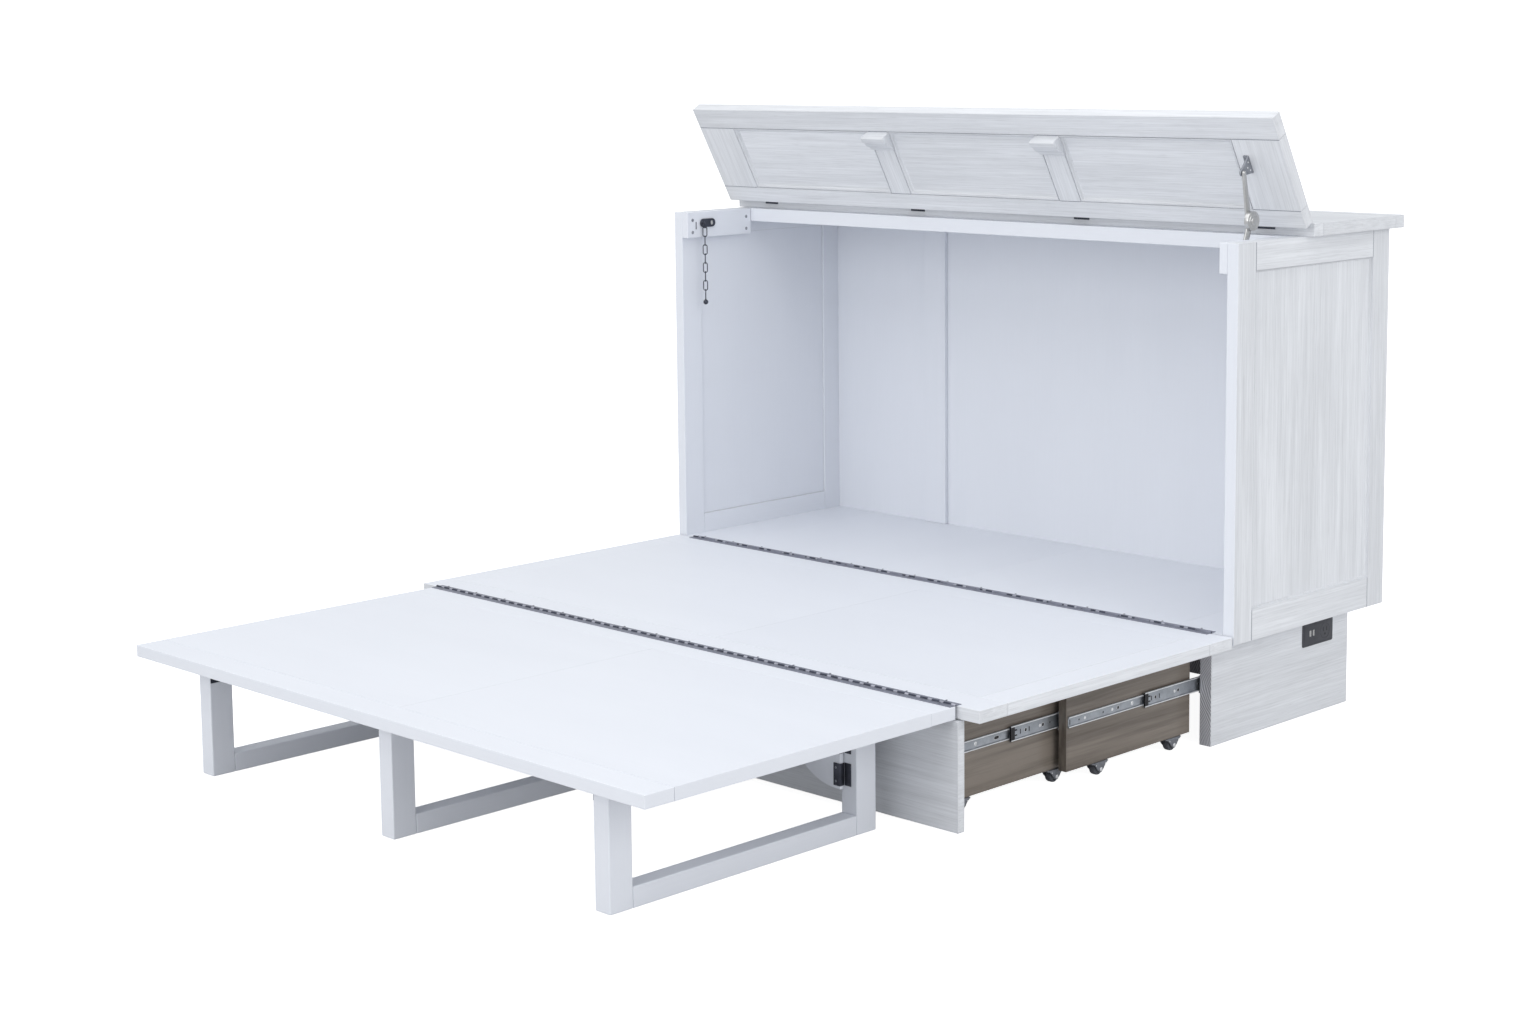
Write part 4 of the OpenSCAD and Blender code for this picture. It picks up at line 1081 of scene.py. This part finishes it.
def chain_piece(node, first, ball=False):
    """Oval links, each a quarter turn from the one before; first counts the links above these."""
    bm = bmesh.new()
    boxes = sorted(islands(node), key=lambda b: -b[1][2])
    for k, (lo, hi) in enumerate(boxes):
        bottom = lo[2]
        if ball and k == len(boxes) - 1:
            zc = bottom + 6 * MM
            bottom += 11.4 * MM
            turns = [math.pi * q / 16 for q in range(17)]
            lathe(bm, [(-6 * MM * math.cos(t), 6 * MM * math.sin(t)) for t in turns], 2, (cx, cy, zc), 28)
            neck = [(0, 2.0 * MM), (1.4 * MM, 2.3 * MM), (2.2 * MM, 1.4 * MM)]
            lathe(bm, neck, 2, (cx, cy, zc + 5.2 * MM), 16)
        turn = math.radians(45 + 90 * ((first + k) % 2))
        half = link_w / 2 - wire
        path = arc(0, hi[2] - link_w / 2, half, [15 * q for q in range(13)])
        path += arc(0, bottom + link_w / 2, half, [180 + 15 * q for q in range(13)])
        wire_loop(bm, [(cx + u * math.cos(turn), cy + u * math.sin(turn), z) for u, z in path], wire)
    stand_in(bm, node + "_links", [GUN], 40, node)


chain_piece("chain_upper", 0)
chain_piece("chain_lower", len(islands("chain_upper")), True)

bm = bmesh.new()
z0, z1 = cz - 4 * MM, chi[2]
mid, outer = (z0 + z1) / 2, clo[0] + 4.2 * MM
strap = round_rect(clo[1], chi[1], z0, z1, (z1 - z0) / 2 - 0.4 * MM, 8)
prism(bm, strap, 0, clo[0], outer, 1.2 * MM, segments=3)
hole(bm, (outer, chi[1] - 12.5 * MM, mid), 0, 1, 3.4 * MM, 0, 2, 1.6 * MM)
rivet = [(-1.2 * MM, 5.8 * MM), (0.9 * MM, 5.6 * MM), (1.5 * MM, 4.8 * MM), (1.5 * MM, 0)]
lathe(bm, rivet, 0, (outer, cy, mid), 28)
wire_loop(bm, [(cx, y, z) for y, z in circle(cy, cz, 5 * MM, 32)], 1.2 * MM)
reach = cx - clo[0]
post = [(0, 2.2 * MM), (reach, 2.0 * MM), (reach + 0.9 * MM, 1.2 * MM), (reach + 1.1 * MM, 0)]
lathe(bm, post, 0, (clo[0], cy, cz + 5 * MM), 20)
stand_in(bm, "chain_strap", [GUN, PALE], 34, "chain_eye")

bm = bmesh.new()
for k, (lo, hi) in enumerate(islands("block_screws")):
    sign = 1 if lo[0] < 0 else -1
    at = (lo[0] if sign > 0 else hi[0], (lo[1] + hi[1]) / 2, (lo[2] + hi[2]) / 2)
    screw(bm, at, 0, sign, 3.9 * MM, 0, 0.30, k * 0.9)
stand_in(bm, "block_screw_heads", [FORK], 40, "block_screws")
# a thin dark strip on the stop block's face: painted shade standing in for a slot
bm = bmesh.new()
slot = round_rect(*span(clo[1] - 12 * MM, 1.3), cz - 8 * MM, cz + 10 * MM, 1.2 * MM, 4)
prism(bm, slot, 0, clo[0] - 0.2 * MM, clo[0] + 0.25 * MM, 0.1 * MM)
settle(from_bm(bm, "block_slot", [GUN], 40), body="cabinet")

# ---------------------------------------------------------------- outlet
lo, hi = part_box("outlet_plate")
bm = bmesh.new()
prism(
    bm, round_rect(lo[1], hi[1], lo[2], hi[2], 4 * MM, 6), 0, lo[0], hi[0] - 0.8 * MM, 0.9 * MM,
    segments=3
)
inner = round_rect(*inset(lo[1], hi[1], 5), *inset(lo[2], hi[2], 5), 3 * MM, 5)
prism(bm, inner, 0, hi[0] - 1.0 * MM, hi[0] - 0.3 * MM, 0.3 * MM)
sy, sz, face = hi[1] - 30 * MM, (lo[2] + hi[2]) / 2, hi[0] - 0.3 * MM
socket = [(-0.2, 17.6), (0.25, 17.2), (0.25, 16.2), (-0.2, 15.8), (-0.3, 0)]
lathe(bm, [(a * MM, b * MM) for a, b in socket], 0, (face, sy, sz), 40, 1)
openings = [round_rect(*span(sy + dy * MM, 1.3), sz - 1 * MM, sz + 8 * MM, 0.5 * MM, 2) for dy in (-6, 6)]
# black patches for the socket's pin holes: painted shade in the holes
for outline in (*openings, circle(sy, sz - 7 * MM, 2.6 * MM)):
    prism(bm, outline, 0, face - 0.3 * MM, face + 0.12 * MM, mat=2)
# each port: surround, pale tongue and the dark slot on it, painted shade of the port's hollow, as mm off
# centre, half sizes, corner, steps, height, bevel and material
PORT = (
    (0.0, 4.6, 8.4, 1.2, 3, 0.18, 0.1, 1), (0.0, 3.1, 6.2, 0.7, 3, 0.26, 0.1, 3),
    (1.05, 0.45, 5.0, 0.3, 2, 0.30, 0.0, 2),
)
for dy in (27, 39):
    for off, half_y, half_z, r, n, height, bevel, mat in PORT:
        outline = round_rect(*span(lo[1] + (dy + off) * MM, half_y), *span(sz + 2 * MM, half_z), r * MM, n)
        prism(bm, outline, 0, face - 0.2 * MM, face + height * MM, bevel * MM, mat)
stand_in(bm, "outlet_moulded", [SLATE, SLATE, BLACK_PLASTIC_AND_SHADE, PALE], 34, "outlet_plate")

# ---------------------------------------------------------------- screws on the back panel
blo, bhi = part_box("back_panel")
edge, corner = 18 * MM, 40 * MM
places = []
for k in range(9):
    x = blo[0] + corner + (bhi[0] - blo[0] - 2 * corner) * k / 8
    places += [(x, bhi[1], blo[2] + edge), (x, bhi[1], bhi[2] - edge)]
for k in range(1, 5):
    z = blo[2] + edge + (bhi[2] - blo[2] - 2 * edge) * k / 5
    places += [(blo[0] + edge, bhi[1], z), (bhi[0] - edge, bhi[1], z)]
screw_row("back_panel_screws", "cabinet", places, 1, 3.4 * MM, ZINC)

# ---------------------------------------------------------------- stage, light and camera
FLOOR_HALF = 40.0
FLOOR_GLOW, FLOOR_FILL = 0.89, 0.04  # emission seen by the camera alone, and by everything
WORLD_LIGHT, WORLD_SEEN = 0.745, 1.2  # world strength as a light, and as the camera sees it
floor_mesh = bpy.data.meshes.new("floor")
s = FLOOR_HALF
floor_mesh.from_pydata([(-s, -s, 0), (s, -s, 0), (s, s, 0), (-s, s, 0)], [], [(0, 1, 2, 3)])
floor = link("floor", floor_mesh)
floor.location.z = -0.0005
gf = Graph("pale_floor", Roughness=0.85)
speck = gf.noise(gf.obj, 3.0, 3.0, 0.5)
gf.out("Base Color", gf.mix(speck, (0.58, 0.58, 0.585), (0.62, 0.62, 0.625)))
ray = gf.tree.nodes.new("ShaderNodeLightPath").outputs["Is Camera Ray"]
gf.shader.inputs["Emission Color"].default_value = (1, 1, 1, 1)
gf.out("Emission Strength", gf.add(gf.mul(ray, FLOOR_GLOW), FLOOR_FILL))
floor_mesh.materials.append(gf.mat)

scene = bpy.context.scene
world = bpy.data.worlds.new("studio")
scene.world = world
world.use_nodes = True
wt = world.node_tree
bg = wt.nodes["Background"]
bg.inputs["Color"].default_value = (0.955, 0.975, 1.0, 1)
wray = wt.nodes.new("ShaderNodeLightPath").outputs["Is Camera Ray"]
wm = wt.nodes.new("ShaderNodeMapRange")
wm.inputs["To Min"].default_value = WORLD_LIGHT
wm.inputs["To Max"].default_value = WORLD_SEEN
wt.links.new(wray, wm.inputs["Value"])
wt.links.new(wm.outputs["Result"], bg.inputs["Strength"])

for name, place, aim, size, power in (
    ("top_soft", (0.2, -1.6, 4.6), (0, -0.3, 0), (5.0, 5.0), 81),
    ("front_soft", (0.6, -6.2, 2.6), (0, 0, 0.6), (4.0, 3.0), 85),
    ("right_soft", (5.5, 0.2, 2.4), (0, 0.3, 0.6), (3.0, 3.0), 70),
):
    data = bpy.data.lights.new(name, "AREA")
    data.shape = "RECTANGLE"
    data.size, data.size_y = size
    data.energy = power
    lamp = link(name, data)
    lamp.location = place
    lamp.rotation_euler = (Vector(aim) - Vector(place)).to_track_quat("-Z", "Y").to_euler()

# camera solved from the corners of the photograph
YAW, PITCH, ROLL = (math.radians(a) for a in (45.267, -7.214, -0.613))
EYE = Vector((3.6644, -3.6435, 1.4089))
FOCAL_PX, PHOTO_WIDTH_PX, SENSOR_MM = 2557.7, 1536, 36.0
scene.view_settings.view_transform = "Standard"
cam_data = bpy.data.cameras.new("camera")
cam = link("camera", cam_data)
scene.camera = cam
look = Vector((-math.cos(PITCH) * math.sin(YAW), math.cos(PITCH) * math.cos(YAW), math.sin(PITCH)))
right = look.cross(Vector((0, 0, 1))).normalized()
up = right.cross(look)
r2 = math.cos(ROLL) * right + math.sin(ROLL) * up
u2 = -math.sin(ROLL) * right + math.cos(ROLL) * up
cam.matrix_world = Matrix.Translation(EYE) @ Matrix((r2, u2, -look)).transposed().to_4x4()
cam_data.sensor_fit = "HORIZONTAL"
cam_data.sensor_width = SENSOR_MM
cam_data.lens = FOCAL_PX / PHOTO_WIDTH_PX * SENSOR_MM
cam_data.shift_y = -0.0921
cam_data.clip_start = 0.05
cam_data.clip_end = 200.0
